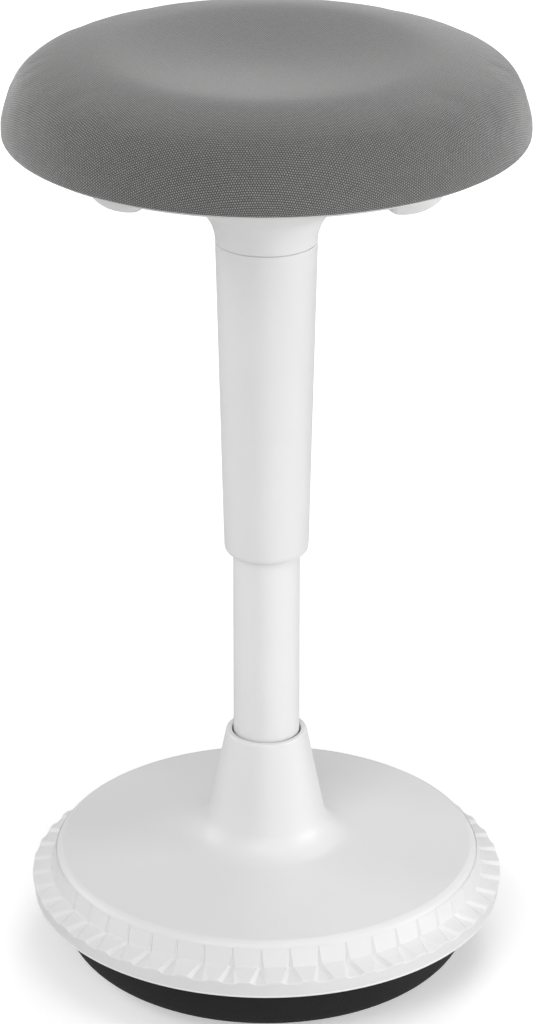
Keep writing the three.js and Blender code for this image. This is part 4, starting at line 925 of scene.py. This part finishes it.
    def sink(self, work: Workpiece, row: TreadRow) -> None:
        """Shape one row of a pocket by moving its points one column at a time.

        Args:
            work: The tread pitch on the bench, its middle on the -Y side.
            row: The row to shape.
        """
        wanted = (-row.mouth, -row.floor, 0.0, row.floor, row.mouth)
        for column, angle in zip(range(-2, 3), wanted):
            old = self.on_ring(row.radius, row.height, column * self.pitch / 6)
            sunk = row.sink if abs(column) < 2 else (0.0, 0.0)
            new = self.on_ring(row.radius + sunk[0], row.height + sunk[1], angle)
            if work.select(lambda spot: (spot - old).length < WELD * 10):
                work.move(new - old)

    @staticmethod
    def on_ring(radius: float, height: float, angle: float) -> Vector:
        """A point on a ring, its angle measured from the -Y side."""
        return Vector((radius * math.sin(angle), -radius * math.cos(angle), height))

    def ease_tread(self, work: Workpiece) -> None:
        """Round the tread's edges a little, as a mould leaves them.

        Args:
            work: The whole shell on the bench.
        """
        work.select_edges(lambda a, b: any(on(a) and on(b) for on in (self.on_rim, self.on_foot)))
        work.round_edges(self.easing, 3)

    def on_rim(self, spot: Vector) -> bool:
        """Whether a point is on the rim's upper edge, in a pocket or between two."""
        radius = math.hypot(spot.x, spot.y)
        low = self.rim_top - self.pocket_depth - self.near
        return abs(radius - self.rim_top_radius) < self.near and low < spot.z

    def on_foot(self, spot: Vector) -> bool:
        """Whether a point is on the wall's foot, between two pockets."""
        radius = math.hypot(spot.x, spot.y)
        return abs(radius - self.wall_foot_radius) < self.near and abs(spot.z - self.wall_foot) < self.near

    def add_bosses(self, shell: bpy.types.Object) -> None:
        """Join the four screw bosses on inside the rim.

        Args:
            shell: The base shell.
        """
        for spot in four_spots(self.boss_circle):
            low, high = spot + Vector((0, 0, self.boss_foot)), spot + Vector((0, 0, self.boss_top))
            below, end = low - Vector((0, 0, self.overrun)), low + Vector((0, 0, self.pilot_depth))
            carve(shell, rod_tool(self.boss_radius, low, high, 20), "UNION")
            carve(shell, rod_tool(self.pilot_radius, below, end, 16))

    def sole(self) -> bpy.types.Object:
        """Turn the domed sole, with shallow grip rings in its flat foot.

        Returns:
            The rubber sole.
        """
        curve = (self.foot_radius, 0), *self.sole_handles, (self.sole_radius, self.sole_top)
        dome = bezier(*curve, 36)
        inside = offset(bezier(*curve, 18), self.sole_wall)
        inside[-1] = (inside[-1][0], self.sole_top)
        rings = [(radius + out, up) for radius in self.grip_radii for out, up in self.grip_groove]
        lip = [
            (self.sole_radius, self.sole_top - self.sole_edge),
            (self.sole_radius - self.sole_edge, self.sole_top),
        ]
        outline = [(0, 0), *rings, *dome[:-1], *lip, *inside[::-1], (0, self.sole_wall)]
        return lathe("black_rubber_sole", outline, 160, closed=False)


# Column


@dataclass
class Column:
    """Painted tube, tapered sleeve, gas spring and the swivel bearing at the tube's foot."""

    tube_radius: float = 0.025
    tube_wall: float = 0.002
    tube_bottom: float = 0.0139
    tube_top: float = 0.48
    tube_lip: Point = (0.004, 0.003)
    tube_foot_round: Point = (0.0004, 0.0012)
    tube_top_round: Point = (0.0006, 0.0008)
    sleeve_bottom: float = 0.336
    sleeve_top: float = 0.5803
    sleeve_bottom_radius: float = 0.0316
    sleeve_top_radius: float = 0.0373
    sleeve_wall: float = 0.003
    sleeve_lip: Point = (0.003, 0.006)
    sleeve_chamfer: Point = (0.0005, 0.0006)
    sleeve_draft: float = 0.00001
    sides: int = 128

    def build(self) -> None:
        """Build and dress the column."""
        tube = self.tube()
        hand_in(tube, TUBE_PAINT, Body.BASE, "outer_tube")
        sleeve = self.sleeve()
        hand_in(sleeve, SEAT_PLASTIC, Body.SEAT, "column_sleeve")
        dress(NYLON, ["sleeve_bush", "guide_bush"])
        dress(BLACK_STEEL, ["gas_cylinder"])
        dress(BRIGHT_STEEL, [
            "piston_rod", "piston", "valve_body", "rod_guide", "ball_ring",
            "upper_race", "lower_race", "end_plate", "rod_clip"])
        dress(SEAL_RUBBER, ["piston_seal", "rubber_bumper"])

    def tube(self) -> bpy.types.Object:
        """Turn the column tube, rolled in at its foot.

        Returns:
            The tube.
        """
        radius, foot, top = self.tube_radius, self.tube_bottom, self.tube_top
        inner, (reach, floor) = radius - self.tube_wall, self.tube_lip
        (small, large), (chamfer, rounding) = self.tube_foot_round, self.tube_top_round
        outline = [
            (inner - reach, foot), (radius - large, foot), (radius - 0.75 * small, foot + small),
            (radius, foot + large), (radius, top - rounding), (radius - chamfer, top), (inner + small, top),
            (inner, top - chamfer), (inner, foot + floor), (inner - reach, foot + floor),
        ]
        return lathe("white_column_tube", outline, self.sides)

    def sleeve(self) -> bpy.types.Object:
        """Turn the tapered sleeve, rounded in at its lower mouth.

        Returns:
            The sleeve.
        """
        radius, bottom = self.sleeve_bottom_radius, self.sleeve_bottom
        top_radius, top = self.sleeve_top_radius, self.sleeve_top
        (handle, rise), (inwards, down) = self.sleeve_lip, self.sleeve_chamfer
        lip = bezier(
            (radius - self.sleeve_wall, bottom), (radius - handle / 3, bottom),
            (radius, bottom + handle), (radius, bottom + rise), 12)
        mouth = [
            (top_radius - self.sleeve_draft, top - down), (top_radius - inwards, top),
            (top_radius - self.sleeve_wall, top),
        ]
        return lathe("white_column_sleeve", [*lip, *mouth], self.sides)


# Seat


@dataclass
class SeatPan:
    """White moulded pan under the cushion, with its hub, lever slots and screw bosses."""

    seam: float = 0.5806
    seam_radius: float = 0.0373
    flare_handles: tuple[Point, Point] = ((0.0374, 0.591), (0.0425, 0.6013))
    hub_radius: float = 0.05
    hub_top: float = 0.607
    dish_handles: tuple[Point, Point] = ((0.0715, 0.6202), (0.1349, 0.6469))
    pan_radius: float = 0.182
    rim: float = 0.6605
    top: float = 0.6631
    seam_edge: float = 0.0005
    rim_edge: float = 0.0007
    wall: float = 0.003
    ledge_outer: float = 0.1612
    ledge_inner: float = 0.1532
    ledge_top: float = 0.6656
    spigot_radius: float = 0.03372
    spigot_wall: float = 0.0025
    spigot_bottom: float = 0.5683
    spigot_lead: Point = (0.0006, 0.001)
    slot_inner: float = 0.0647
    slot_outer: float = 0.0995
    slot_half_width: float = 0.013
    slot_round: float = 0.004
    screw_circle: float = 0.1402
    screw_recess: float = 0.0048
    screw_hole: float = 0.0024
    boss_radius: float = 0.0074
    head_height: float = 0.0033
    boss_lift: float = 0.001
    tool_reach: float = 0.009
    overrun: float = 0.002
    sides: int = 144

    def build(self) -> None:
        """Build and dress the pan."""
        pan = self.pan()
        hand_in(pan, SEAT_PLASTIC, Body.SEAT, "seat_pan")

    def bowl(self) -> Outline:
        """Outline of the outside from the seam to the rim."""
        hub = (self.hub_radius, self.hub_top)
        flare = bezier((self.seam_radius, self.seam), *self.flare_handles, hub, 12)
        dish = bezier(hub, *self.dish_handles, (self.pan_radius, self.rim), 28)
        return [*flare, *dish[1:]]

    def pan(self) -> bpy.types.Object:
        """Turn the pan, then join its bosses on and cut its openings.

        Returns:
            The pan.
        """
        outside = self.bowl()
        floor = self.seam + self.wall
        inside = [p for p in offset(outside, self.wall) if p[0] < self.ledge_inner and p[1] > floor]
        spigot_inner = self.spigot_radius - self.spigot_wall
        seam = [
            (self.spigot_radius, self.seam), (self.seam_radius - self.seam_edge, self.seam),
            (self.seam_radius, self.seam + self.seam_edge),
        ]
        rim = [(self.pan_radius, self.top - self.rim_edge), (self.pan_radius - self.rim_edge, self.top)]
        ledge = [
            (self.ledge_outer, self.top), (self.ledge_outer, self.ledge_top),
            (self.ledge_inner, self.ledge_top),
        ]
        foot = (self.ledge_inner, height_on(outside, self.ledge_inner) + self.wall)
        inwards, rise = self.spigot_lead
        spigot = [
            (spigot_inner, self.spigot_bottom), (self.spigot_radius - inwards, self.spigot_bottom),
            (self.spigot_radius, self.spigot_bottom + rise),
        ]
        outline = [
            *spigot, *seam, *outside[1:], *rim, *ledge, foot, *inside[::-1], (spigot_inner, floor),
        ]
        pan = lathe("white_seat_pan", outline, self.sides)
        self.add_bosses(pan, outside)
        for side in Side:
            carve(pan, self.slot_tool(side))
        bpy.ops.object.shade_smooth_by_angle(angle=SMOOTH_BELOW)
        modifier(pan, "WEIGHTED_NORMAL", keep_sharp=True, weight=50)
        return pan

    def add_bosses(self, pan: bpy.types.Object, outside: Outline) -> None:
        """Join the four screw bosses on and drill them.

        Args:
            pan: The pan.
            outside: Outline of its outside.
        """
        skin = height_on(outside, self.screw_circle)
        heights = (skin + self.boss_lift, self.ledge_top, skin - self.tool_reach, skin + self.head_height)
        for spot in four_spots(self.screw_circle):
            foot, head, below, seat = (spot + Vector((0, 0, height)) for height in heights)
            carve(pan, rod_tool(self.boss_radius, foot, head), "UNION")
            carve(pan, rod_tool(self.screw_recess, below, seat))
            carve(pan, rod_tool(self.screw_hole, below, head + Vector((0, 0, self.overrun)), 20))

    def slot_tool(self, side: Side) -> bpy.types.Object:
        """Cutter for the opening that a lever comes through.

        Args:
            side: Side of the seat.

        Returns:
            The cutter, its upright edges rounded.
        """
        middle = side.value * (self.slot_inner + self.slot_outer) / 2
        low, high = self.hub_top - self.overrun, self.ledge_top + 2 * self.overrun
        bpy.ops.object.select_all(action="DESELECT")
        bpy.ops.mesh.primitive_cube_add(size=1, location=(middle, 0, (low + high) / 2))
        tool = bpy.context.object
        tool.scale = (self.slot_outer - self.slot_inner, 2 * self.slot_half_width, high - low)
        bpy.ops.object.transform_apply(location=True, rotation=True, scale=True)
        bpy.ops.object.mode_set(mode="EDIT")
        bpy.ops.mesh.select_mode(type="EDGE")
        bpy.ops.mesh.select_all(action="DESELECT")
        mesh = bmesh.from_edit_mesh(tool.data)
        for edge in mesh.edges:
            edge.select_set(abs(edge.verts[0].co.z - edge.verts[1].co.z) > self.slot_round)
        bmesh.update_edit_mesh(tool.data)
        bpy.ops.mesh.bevel(offset=self.slot_round, segments=6, affect="EDGES")
        bpy.ops.object.mode_set(mode="OBJECT")
        return tool


@dataclass
class Cushion:
    """Round dished cushion: a woven cover stretched over foam on a plywood board."""

    radius: float = 0.1894
    crest_radius: float = 0.114
    shoulder: Point = (0.168, 0.7102)
    tuck_handles: tuple[Point, Point] = ((0.1883, 0.6634), (0.1894, 0.6646))
    side_handles: tuple[Point, Point] = ((0.1894, 0.687), (0.1835, 0.7025))
    crown_handles: tuple[Point, Point] = ((0.156, 0.7160), (0.128, 0.7212))
    dish_handles: tuple[Point, Point] = ((0.0935, 0.7212), (0.0433, 0.7132))
    hem: float = 0.6634
    widest: float = 0.6660
    crest: float = 0.7212
    dish: float = 0.7132
    hem_outer: float = 0.1858
    hem_inner: float = 0.1618
    cloth: float = 0.0021
    foam_gap: float = 0.0025
    board_radius: float = 0.1780
    board_top: float = 0.6779
    voxel: float = 0.005
    cut_height: float = 0.6735
    inset: float = 0.0004
    swelling: float = 0.0012
    held_below: float = 0.672
    free_above: float = 0.686
    pressure: float = 4.0
    frames: int = 20
    sides: int = 144
    tuck_steps: int = 8
    side_steps: int = 20
    crown_steps: int = 14
    dish_steps: int = 20
    map_steps: int = 600
    map_batch: int = 4000
    edge_fade: Point = (0.002, 0.012)
    gathers: tuple[tuple[float, float, float], ...] = ((1, 53, 0.7), (0.7, 37, 2.1), (0.5, 83, 0))
    gather_bias: float = 1.2
    gather_depth: float = 0.00005
    gather_height: float = 0.002
    gather_spread: float = 0.006
    foam_sides: int = 120
    foam_bevel: Point = (0.004, 0.001)
    foam_lap: tuple[Point, Point] = ((0.1783, 0.6664), (0.1793, 0.6659))
    foam_smooth_below: float = math.radians(50)
    board_gap: float = 0.0003
    wrap: Outline = field(default_factory=list)

    def build(self) -> None:
        """Build and dress the cushion."""
        self.wrap = self.surface()
        cover = self.cover()
        hand_in(cover, SEAT_CLOTH, Body.SEAT, "fabric_cover")
        foam = self.foam()
        hand_in(foam, SEAT_FOAM, Body.SEAT, "foam_pad")
        dress(BOARD_PLY, ["seat_board"])
        dress(BLACK_STEEL, four("board_screw"))

    def surface(self) -> Outline:
        """Outline of the cover from the hem's inner edge, over the side, to the middle of the dish."""
        widest, crest = (self.radius, self.widest), (self.crest_radius, self.crest)
        tuck = bezier((self.hem_outer, self.hem), *self.tuck_handles, widest, self.tuck_steps)
        side = bezier(widest, *self.side_handles, self.shoulder, self.side_steps)
        crown = bezier(self.shoulder, *self.crown_handles, crest, self.crown_steps)
        dish = bezier(crest, *self.dish_handles, (0, self.dish), self.dish_steps)
        return [(self.hem_inner, self.hem), *tuck, *side[1:], *crown[1:], *dish[1:]]

    def pillow(self, name: str, inset: float) -> bpy.types.Object:
        """A closed body inside the cover's outline, its underside closed flat.

        Args:
            name: Name of the body.
            inset: How much smaller than the outline it is.

        Returns:
            The body.
        """
        inner = offset(self.wrap, inset)
        inner[-1] = (0, inner[-1][1])
        return lathe(name, [(0, inner[0][1]), *inner], self.sides, closed=False)

    def cover(self) -> bpy.types.Object:
        """Remesh the form evenly, let pressure fill it, and tuck its edge under the seat.

        Returns:
            The woven cover, with its thickness and a map that follows the cloth.
        """
        form, mould = self.pillow("cover_form", self.inset), self.pillow("cover_mould", 0)
        bpy.ops.object.select_all(action="DESELECT")
        form.select_set(True)
        bpy.context.view_layer.objects.active = form
        bpy.ops.object.duplicate()
        cover = bpy.context.object
        cover.name = cover.data.name = "grey_woven_cover"
        modifier(cover, "REMESH", mode="VOXEL", voxel_size=self.voxel)
        cling(cover, form)
        modifier(cover, "SMOOTH", factor=0.5, iterations=4)
        cling(cover, form)
        self.fill(cover)
        self.tuck_under(cover)
        modifier(cover, "SUBSURF", levels=1, render_levels=1)
        self.hold_edge(cover, mould)
        self.pucker(cover)
        for body in (form, mould):
            bpy.data.objects.remove(body)
        modifier(cover, "SOLIDIFY", thickness=self.cloth, offset=-1, use_even_offset=True)
        self.lay_map(cover)
        bpy.ops.object.shade_smooth()
        return cover

    def fill(self, cover: bpy.types.Object) -> None:
        """Blow the cover up as cloth and hold every point within a small swelling.

        Args:
            cover: The remeshed form.
        """
        scene = bpy.context.scene
        before = coordinates(cover)
        cloth = cover.modifiers.new("cloth", "CLOTH")
        cloth.settings.use_pressure = True
        cloth.settings.uniform_pressure_force = self.pressure
        cloth.settings.effector_weights.gravity = 0
        for number in range(1, self.frames + 1):
            scene.frame_set(number)
        bpy.context.view_layer.objects.active = cover
        bpy.ops.object.modifier_apply(modifier=cloth.name)
        scene.frame_set(1)
        moves = coordinates(cover) - before
        length = np.linalg.norm(moves, axis=1, keepdims=True)
        start, rise = self.edge_fade
        upper = np.clip((before[:, 2:] - self.hem - start) / rise, 0, 1)
        held = moves * np.minimum(1, self.swelling / np.maximum(length, 1e-9)) * upper
        LOG.info("cloth moved %.2f mm on average", 1000 * float(length.mean()))
        place(cover, before + held)

    def tuck_under(self, cover: bpy.types.Object) -> None:
        """Cut the cloth just above its lower edge and draw the cut edge under the seat, ring by ring.

        Args:
            cover: The filled cover.
        """
        edge = self.wrap[1 : 1 + self.tuck_steps + self.side_steps]
        heights, radii = zip(*[(height, radius) for radius, height in edge[self.tuck_steps :]])
        here = (float(np.interp(self.cut_height, heights, radii)), self.cut_height)
        rings = [point for point in edge if point[1] < self.cut_height - self.inset]
        bpy.ops.object.mode_set(mode="EDIT")
        bpy.ops.mesh.select_mode(type="EDGE")
        bpy.ops.mesh.select_all(action="SELECT")
        bpy.ops.mesh.bisect(plane_co=(0, 0, self.cut_height), plane_no=(0, 0, 1), clear_inner=True)
        bpy.ops.mesh.select_all(action="SELECT")
        bpy.ops.mesh.remove_doubles(threshold=self.voxel / 5)
        bpy.ops.mesh.normals_make_consistent(inside=False)
        bpy.ops.mesh.select_all(action="DESELECT")
        bpy.ops.mesh.select_non_manifold()
        for radius, height in [self.wrap[0], *rings[::2]][::-1]:
            share = radius / here[0]
            bpy.ops.mesh.extrude_edges_move(TRANSFORM_OT_translate={"value": (0, 0, height - here[1])})
            bpy.ops.transform.resize(value=(share, share, 1), center_override=(0, 0, 0))
            here = (radius, height)
        bpy.ops.object.mode_set(mode="OBJECT")

    def hold_edge(self, cover: bpy.types.Object, mould: bpy.types.Object) -> None:
        """Lay the lower edge, tight under the seat, back on the drawn outline.

        Args:
            cover: The subdivided cover.
            mould: Body of the drawn outline.
        """
        heights = coordinates(cover)[:, 2]
        shares = np.clip((self.free_above - heights) / (self.free_above - self.held_below), 0, 1)
        group = cover.vertex_groups.new(name="tight_edge")
        for index in np.flatnonzero(shares):
            group.add([int(index)], float(shares[index]), "REPLACE")
        cling(cover, mould, vertex_group=group.name)
        cover.vertex_groups.clear()

    def pucker(self, cover: bpy.types.Object) -> None:
        """Draw small gathers into the lower edge, where the cloth is pulled under the seat.

        Args:
            cover: The filled cover.
        """
        spots = coordinates(cover)
        radius = np.hypot(spots[:, 0], spots[:, 1])
        angle = np.arctan2(spots[:, 1], spots[:, 0])
        waves = sum(share * np.cos(count * angle + start) for share, count, start in self.gathers)
        above = (spots[:, 2] - self.widest - self.gather_height) / self.gather_spread
        low = np.exp(-(above**2)) * (radius > self.hem_outer)
        depth = self.gather_depth * (waves - self.gather_bias) * low
        spots[:, :2] *= (1 + depth / np.maximum(radius, self.hem_inner))[:, None]
        place(cover, spots)

    def lay_map(self, cover: bpy.types.Object) -> None:
        """Lay a flat map on the cover, as far from its middle everywhere as the cloth is long.

        Args:
            cover: The finished cover.
        """
        spots = coordinates(cover)
        path = np.array(self.wrap[::-1])
        lengths = np.concatenate(([0], np.cumsum(np.linalg.norm(np.diff(path, axis=0), axis=1))))
        dense = np.linspace(0, lengths[-1], self.map_steps)
        profile = np.stack([np.interp(dense, lengths, path[:, axis]) for axis in (0, 1)], axis=1)
        radius = np.hypot(spots[:, 0], spots[:, 1])
        nearest = np.empty(len(spots))
        for start in range(0, len(spots), self.map_batch):
            part = slice(start, start + self.map_batch)
            out, up = radius[part, None] - profile[None, :, 0], spots[part, 2:] - profile[None, :, 1]
            nearest[part] = dense[np.argmin(out**2 + up**2, axis=1)]
        angle = np.arctan2(spots[:, 1], spots[:, 0])
        flat = np.stack([nearest * np.cos(angle), nearest * np.sin(angle)], axis=1)
        corners = np.empty(len(cover.data.loops), np.int64)
        cover.data.loops.foreach_get("vertex_index", corners)
        for old in list(cover.data.uv_layers):
            cover.data.uv_layers.remove(old)
        cover.data.uv_layers.new(name="cloth_map").data.foreach_set("uv", flat[corners].ravel())

    def foam(self) -> bpy.types.Object:
        """Turn the foam that fills the cover and laps down over the board's edge.

        Returns:
            The foam pad.
        """
        crown = offset(self.wrap, self.foam_gap + self.inset)[2:]
        crown[-1] = (0, crown[-1][1])
        skirt, ceiling = self.board_radius + self.board_gap, self.board_top + self.board_gap
        inwards, down = self.foam_bevel
        lap = [(skirt - inwards, ceiling), (skirt, self.board_top - down), *self.foam_lap]
        lowest = self.foam_lap[-1][1] + self.board_gap
        upper = [(radius, height) for radius, height in crown if radius > 0 and height > lowest]
        outline = [(0, ceiling), *lap, *upper, (0, crown[-1][1])]
        foam = lathe("moulded_foam_pad", outline, self.foam_sides, closed=False)
        modifier(foam, "SUBSURF", levels=1, render_levels=1)
        bpy.ops.object.shade_smooth_by_angle(angle=self.foam_smooth_below)
        return foam


# Release levers


@dataclass
class ReleaseGear:
    """White finger paddles, and the levers and bracket that carry their pull to the gas spring."""

    neck: float = 0.0845
    neck_half: float = 0.010
    wide: float = 0.0943
    half: float = 0.019
    tip: float = 0.1265
    thickness: float = 0.008
    edge: float = 0.003
    stations: tuple[float, ...] = (0.0845, 0.0879, 0.0943, 0.1010, 0.1080, 0.1140, 0.1200, 0.1265)
    levels: tuple[float, ...] = (0.6123, 0.6117, 0.6108, 0.6106, 0.6113, 0.6125, 0.6148, 0.6182)
    cuts: int = 26
    row_gap: float = 0.00001
    smooth_below: float = math.radians(40)

    def build(self) -> None:
        """Build both paddles and dress the metal parts."""
        for side, body, node in (
            (Side.RIGHT, Body.RIGHT_LEVER, "right_paddle"),
            (Side.LEFT, Body.LEFT_LEVER, "left_paddle"),
        ):
            paddle = self.paddle(f"white_{side.name.lower()}_paddle", side)
            hand_in(paddle, PADDLE_PLASTIC, body, node)
        dress(BLACK_STEEL, ["mounting_bracket", "left_lever_arm", "right_lever_arm"])
        dress(BRIGHT_STEEL, four("bracket_screw"))
        pins = [f"{side}_{piece}" for side in ("right", "left") for piece in ("pivot_pin", "pin_clip")]
        dress(BRIGHT_STEEL, [*pins, "release_pin"])
        dress(NYLON, ["release_spool"])

    def plan(self) -> Outline:
        """Outline of a paddle on the +X side, seen from above."""
        bend = (self.wide - self.neck) / 2
        near = bezier(
            (self.neck, -self.neck_half), (self.neck + bend, -self.neck_half),
            (self.wide - bend, -self.half), (self.wide, -self.half), 10)
        tip = [
            (self.wide + (self.tip - self.wide) * math.cos(angle), self.half * math.sin(angle))
            for angle in np.linspace(-math.pi / 2, math.pi / 2, 29)[1:-1]
        ]
        return [*near, *tip, *[(x, -y) for x, y in near[::-1]]]

    def paddle(self, name: str, side: Side) -> bpy.types.Object:
        """Model a paddle: a flat tongue, cut across, given its thickness, bent and rounded.

        Args:
            name: Name of the piece.
            side: Side of the seat.

        Returns:
            The paddle.
        """
        work = Workpiece(name)
        work.draw((x, y, 0) for x, y in self.plan())
        work.select_all()
        bpy.ops.mesh.edge_face_add()
        for x in np.linspace(self.neck, self.tip, self.cuts + 2)[1:-1]:
            work.select_all()
            bpy.ops.mesh.bisect(plane_co=(x, 0, 0), plane_no=(1, 0, 0))
        work.select_all()
        bpy.ops.mesh.extrude_region_move(TRANSFORM_OT_translate={"value": (0, 0, self.thickness)})
        work.weld()
        self.round_rim(work)
        self.bend(work)
        if side is Side.LEFT:
            work.select_all()
            work.turn(math.pi)
        paddle = work.hand_over(self.smooth_below)
        modifier(paddle, "WEIGHTED_NORMAL", keep_sharp=True, weight=50)
        return paddle

    def round_rim(self, work: Workpiece) -> None:
        """Round a flat tongue's upper and lower rims.

        Args:
            work: The tongue on the bench, from zero to its thickness.
        """
        mesh = bmesh.from_edit_mesh(work.piece.data)
        rims = {
            frozenset((tuple(e.verts[0].co), tuple(e.verts[1].co)))
            for e in mesh.edges
            if len(e.link_faces) == 2 and min(abs(f.normal.z) for f in e.link_faces) < 0.5
            and max(abs(f.normal.z) for f in e.link_faces) > 0.5
        }
        work.select_edges(lambda a, b: frozenset((tuple(a), tuple(b))) in rims)
        work.round_edges(self.edge, 5)

    def bend(self, work: Workpiece) -> None:
        """Lift each cross row of the tongue to the lever's bent line.

        Args:
            work: The tongue on the bench.
        """
        mesh = bmesh.from_edit_mesh(work.piece.data)
        places = sorted(vertex.co.x for vertex in mesh.verts)
        starts = [x for last, x in zip([-1.0, *places], places) if x - last > self.row_gap]
        for start, stop in zip(starts, [*starts[1:], math.inf]):
            level = float(np.interp(start, self.stations, self.levels)) - self.thickness / 2
            work.select(lambda spot: start <= spot.x < stop)
            work.move((0, 0, level))


# Studio


@dataclass(frozen=True)
class Lamp:
    """A soft lamp: its direction from the stool in degrees, turned right from the front, and its power."""

    name: str
    height: float
    azimuth: float
    power: float


@dataclass
class Studio:
    """Camera of the photograph, soft lamps and a white floor that keeps the shadow."""

    distance: float = 2.721
    height: float = 1.562
    azimuth: float = 1.4
    tilt: float = 66.269
    lens: float = 140.625
    sensor: float = 36
    sight: float = 100
    world: float = 0.15
    shadow_reach: float = 0.25
    white_reach: float = 1.2
    near_glow: float = 0.42
    far_glow: float = 0.9
    floor_size: float = 60
    floor_tones: tuple[Colour, Colour] = ((0.86, 0.86, 0.86), (0.88, 0.88, 0.88))
    lamp_size: float = 1.5
    lamp_distance: float = 3.2
    lamps: tuple[Lamp, ...] = (
        Lamp("high_left_lamp", 22, -110, 20.0),
        Lamp("low_left_lamp", 8, -100, 11.6),
        Lamp("low_right_lamp", 8, 80, 45.0),
        Lamp("high_front_lamp", 35, -20, 31.0),
        Lamp("low_front_lamp", 8, 10, 17.0),
        Lamp("top_front_lamp", 62, 20, 23.5),
        Lamp("top_back_lamp", 62, 150, 17.0),
    )
    aim: Vector = field(default_factory=lambda: Vector((0, 0, 0.4)))

    def build(self) -> None:
        """Set up the camera, the light and the floor."""
        self.camera()
        self.sky()
        for lamp in self.lamps:
            self.hang(lamp)
        self.floor()
        bpy.context.scene.view_settings.view_transform = "Standard"

    def camera(self) -> None:
        """Place the camera where the photograph was taken from."""
        data = bpy.data.cameras.new("camera")
        data.lens = self.lens
        data.sensor_width = self.sensor
        data.clip_end = self.sight
        camera = bpy.data.objects.new("camera", data)
        turn = math.radians(self.azimuth)
        camera.location = (self.distance * math.sin(turn), -self.distance * math.cos(turn), self.height)
        camera.rotation_euler = (math.radians(self.tilt), 0, turn)
        bpy.context.scene.collection.objects.link(camera)
        bpy.context.scene.camera = camera

    def sky(self) -> None:
        """Light the world evenly, and show it white where it is seen."""
        world = bpy.data.worlds.new("studio")
        world.use_nodes = True
        bpy.context.scene.world = world
        nodes, links = world.node_tree.nodes, world.node_tree.links
        background = nodes["Background"]
        background.inputs[0].default_value = (1, 1, 1, 1)
        path = nodes.new("ShaderNodeLightPath")
        seen = path.outputs["Is Camera Ray"]
        for ray in ("Is Transmission Ray", "Is Glossy Ray"):
            either = nodes.new("ShaderNodeMath")
            either.operation = "MAXIMUM"
            links.new(seen, either.inputs[0])
            links.new(path.outputs[ray], either.inputs[1])
            seen = either.outputs[0]
        level = nodes.new("ShaderNodeMapRange")
        links.new(seen, level.inputs[0])
        level.inputs[3].default_value = self.world
        level.inputs[4].default_value = 1
        links.new(level.outputs[0], background.inputs[1])

    def hang(self, lamp: Lamp) -> None:
        """Hang a soft square lamp that faces the stool.

        Args:
            lamp: Where it hangs and how strong it is.
        """
        data = bpy.data.lights.new(lamp.name, "AREA")
        data.size = self.lamp_size
        data.energy = lamp.power
        height, turn = math.radians(lamp.height), math.radians(lamp.azimuth)
        level = math.cos(height)
        away = Vector((level * math.sin(turn), -level * math.cos(turn), math.sin(height)))
        holder = bpy.data.objects.new(lamp.name, data)
        holder.location = self.aim + away * self.lamp_distance
        holder.rotation_euler = (-away).to_track_quat("-Z", "Y").to_euler()
        bpy.context.scene.collection.objects.link(holder)

    def floor(self) -> None:
        """Lay a wide white floor."""
        bpy.ops.object.select_all(action="DESELECT")
        bpy.ops.mesh.primitive_plane_add(size=self.floor_size)
        floor = bpy.context.object
        floor.name = floor.data.name = "studio_floor"
        recipe = Recipe("white_floor")
        path = recipe.node("LightPath")
        slow = recipe.noise(3, 2)
        away = recipe.node("VectorMath", Vector=recipe.places)
        away.operation = "LENGTH"
        reach, glows = (self.shadow_reach, self.white_reach), (self.near_glow, self.far_glow)
        glow = recipe.ramp(away.outputs["Value"], *reach, *glows)
        recipe.set(
            Base_Color=recipe.blend(slow, *self.floor_tones),
            Roughness=0.9,
            Specular_IOR_Level=0.1,
            Emission_Color=(1, 1, 1, 1),
            Emission_Strength=recipe.math("MULTIPLY", path.outputs["Is Camera Ray"], glow),
        )
        floor.data.materials.append(recipe.material)


def main() -> None:
    """Build the stool from the floor up."""
    logging.basicConfig(level=logging.INFO, format="%(message)s")
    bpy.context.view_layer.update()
    Studio().build()
    RockingBase().build()
    Column().build()
    SeatPan().build()
    Cushion().build()
    ReleaseGear().build()


if __name__ == "__main__":
    main()
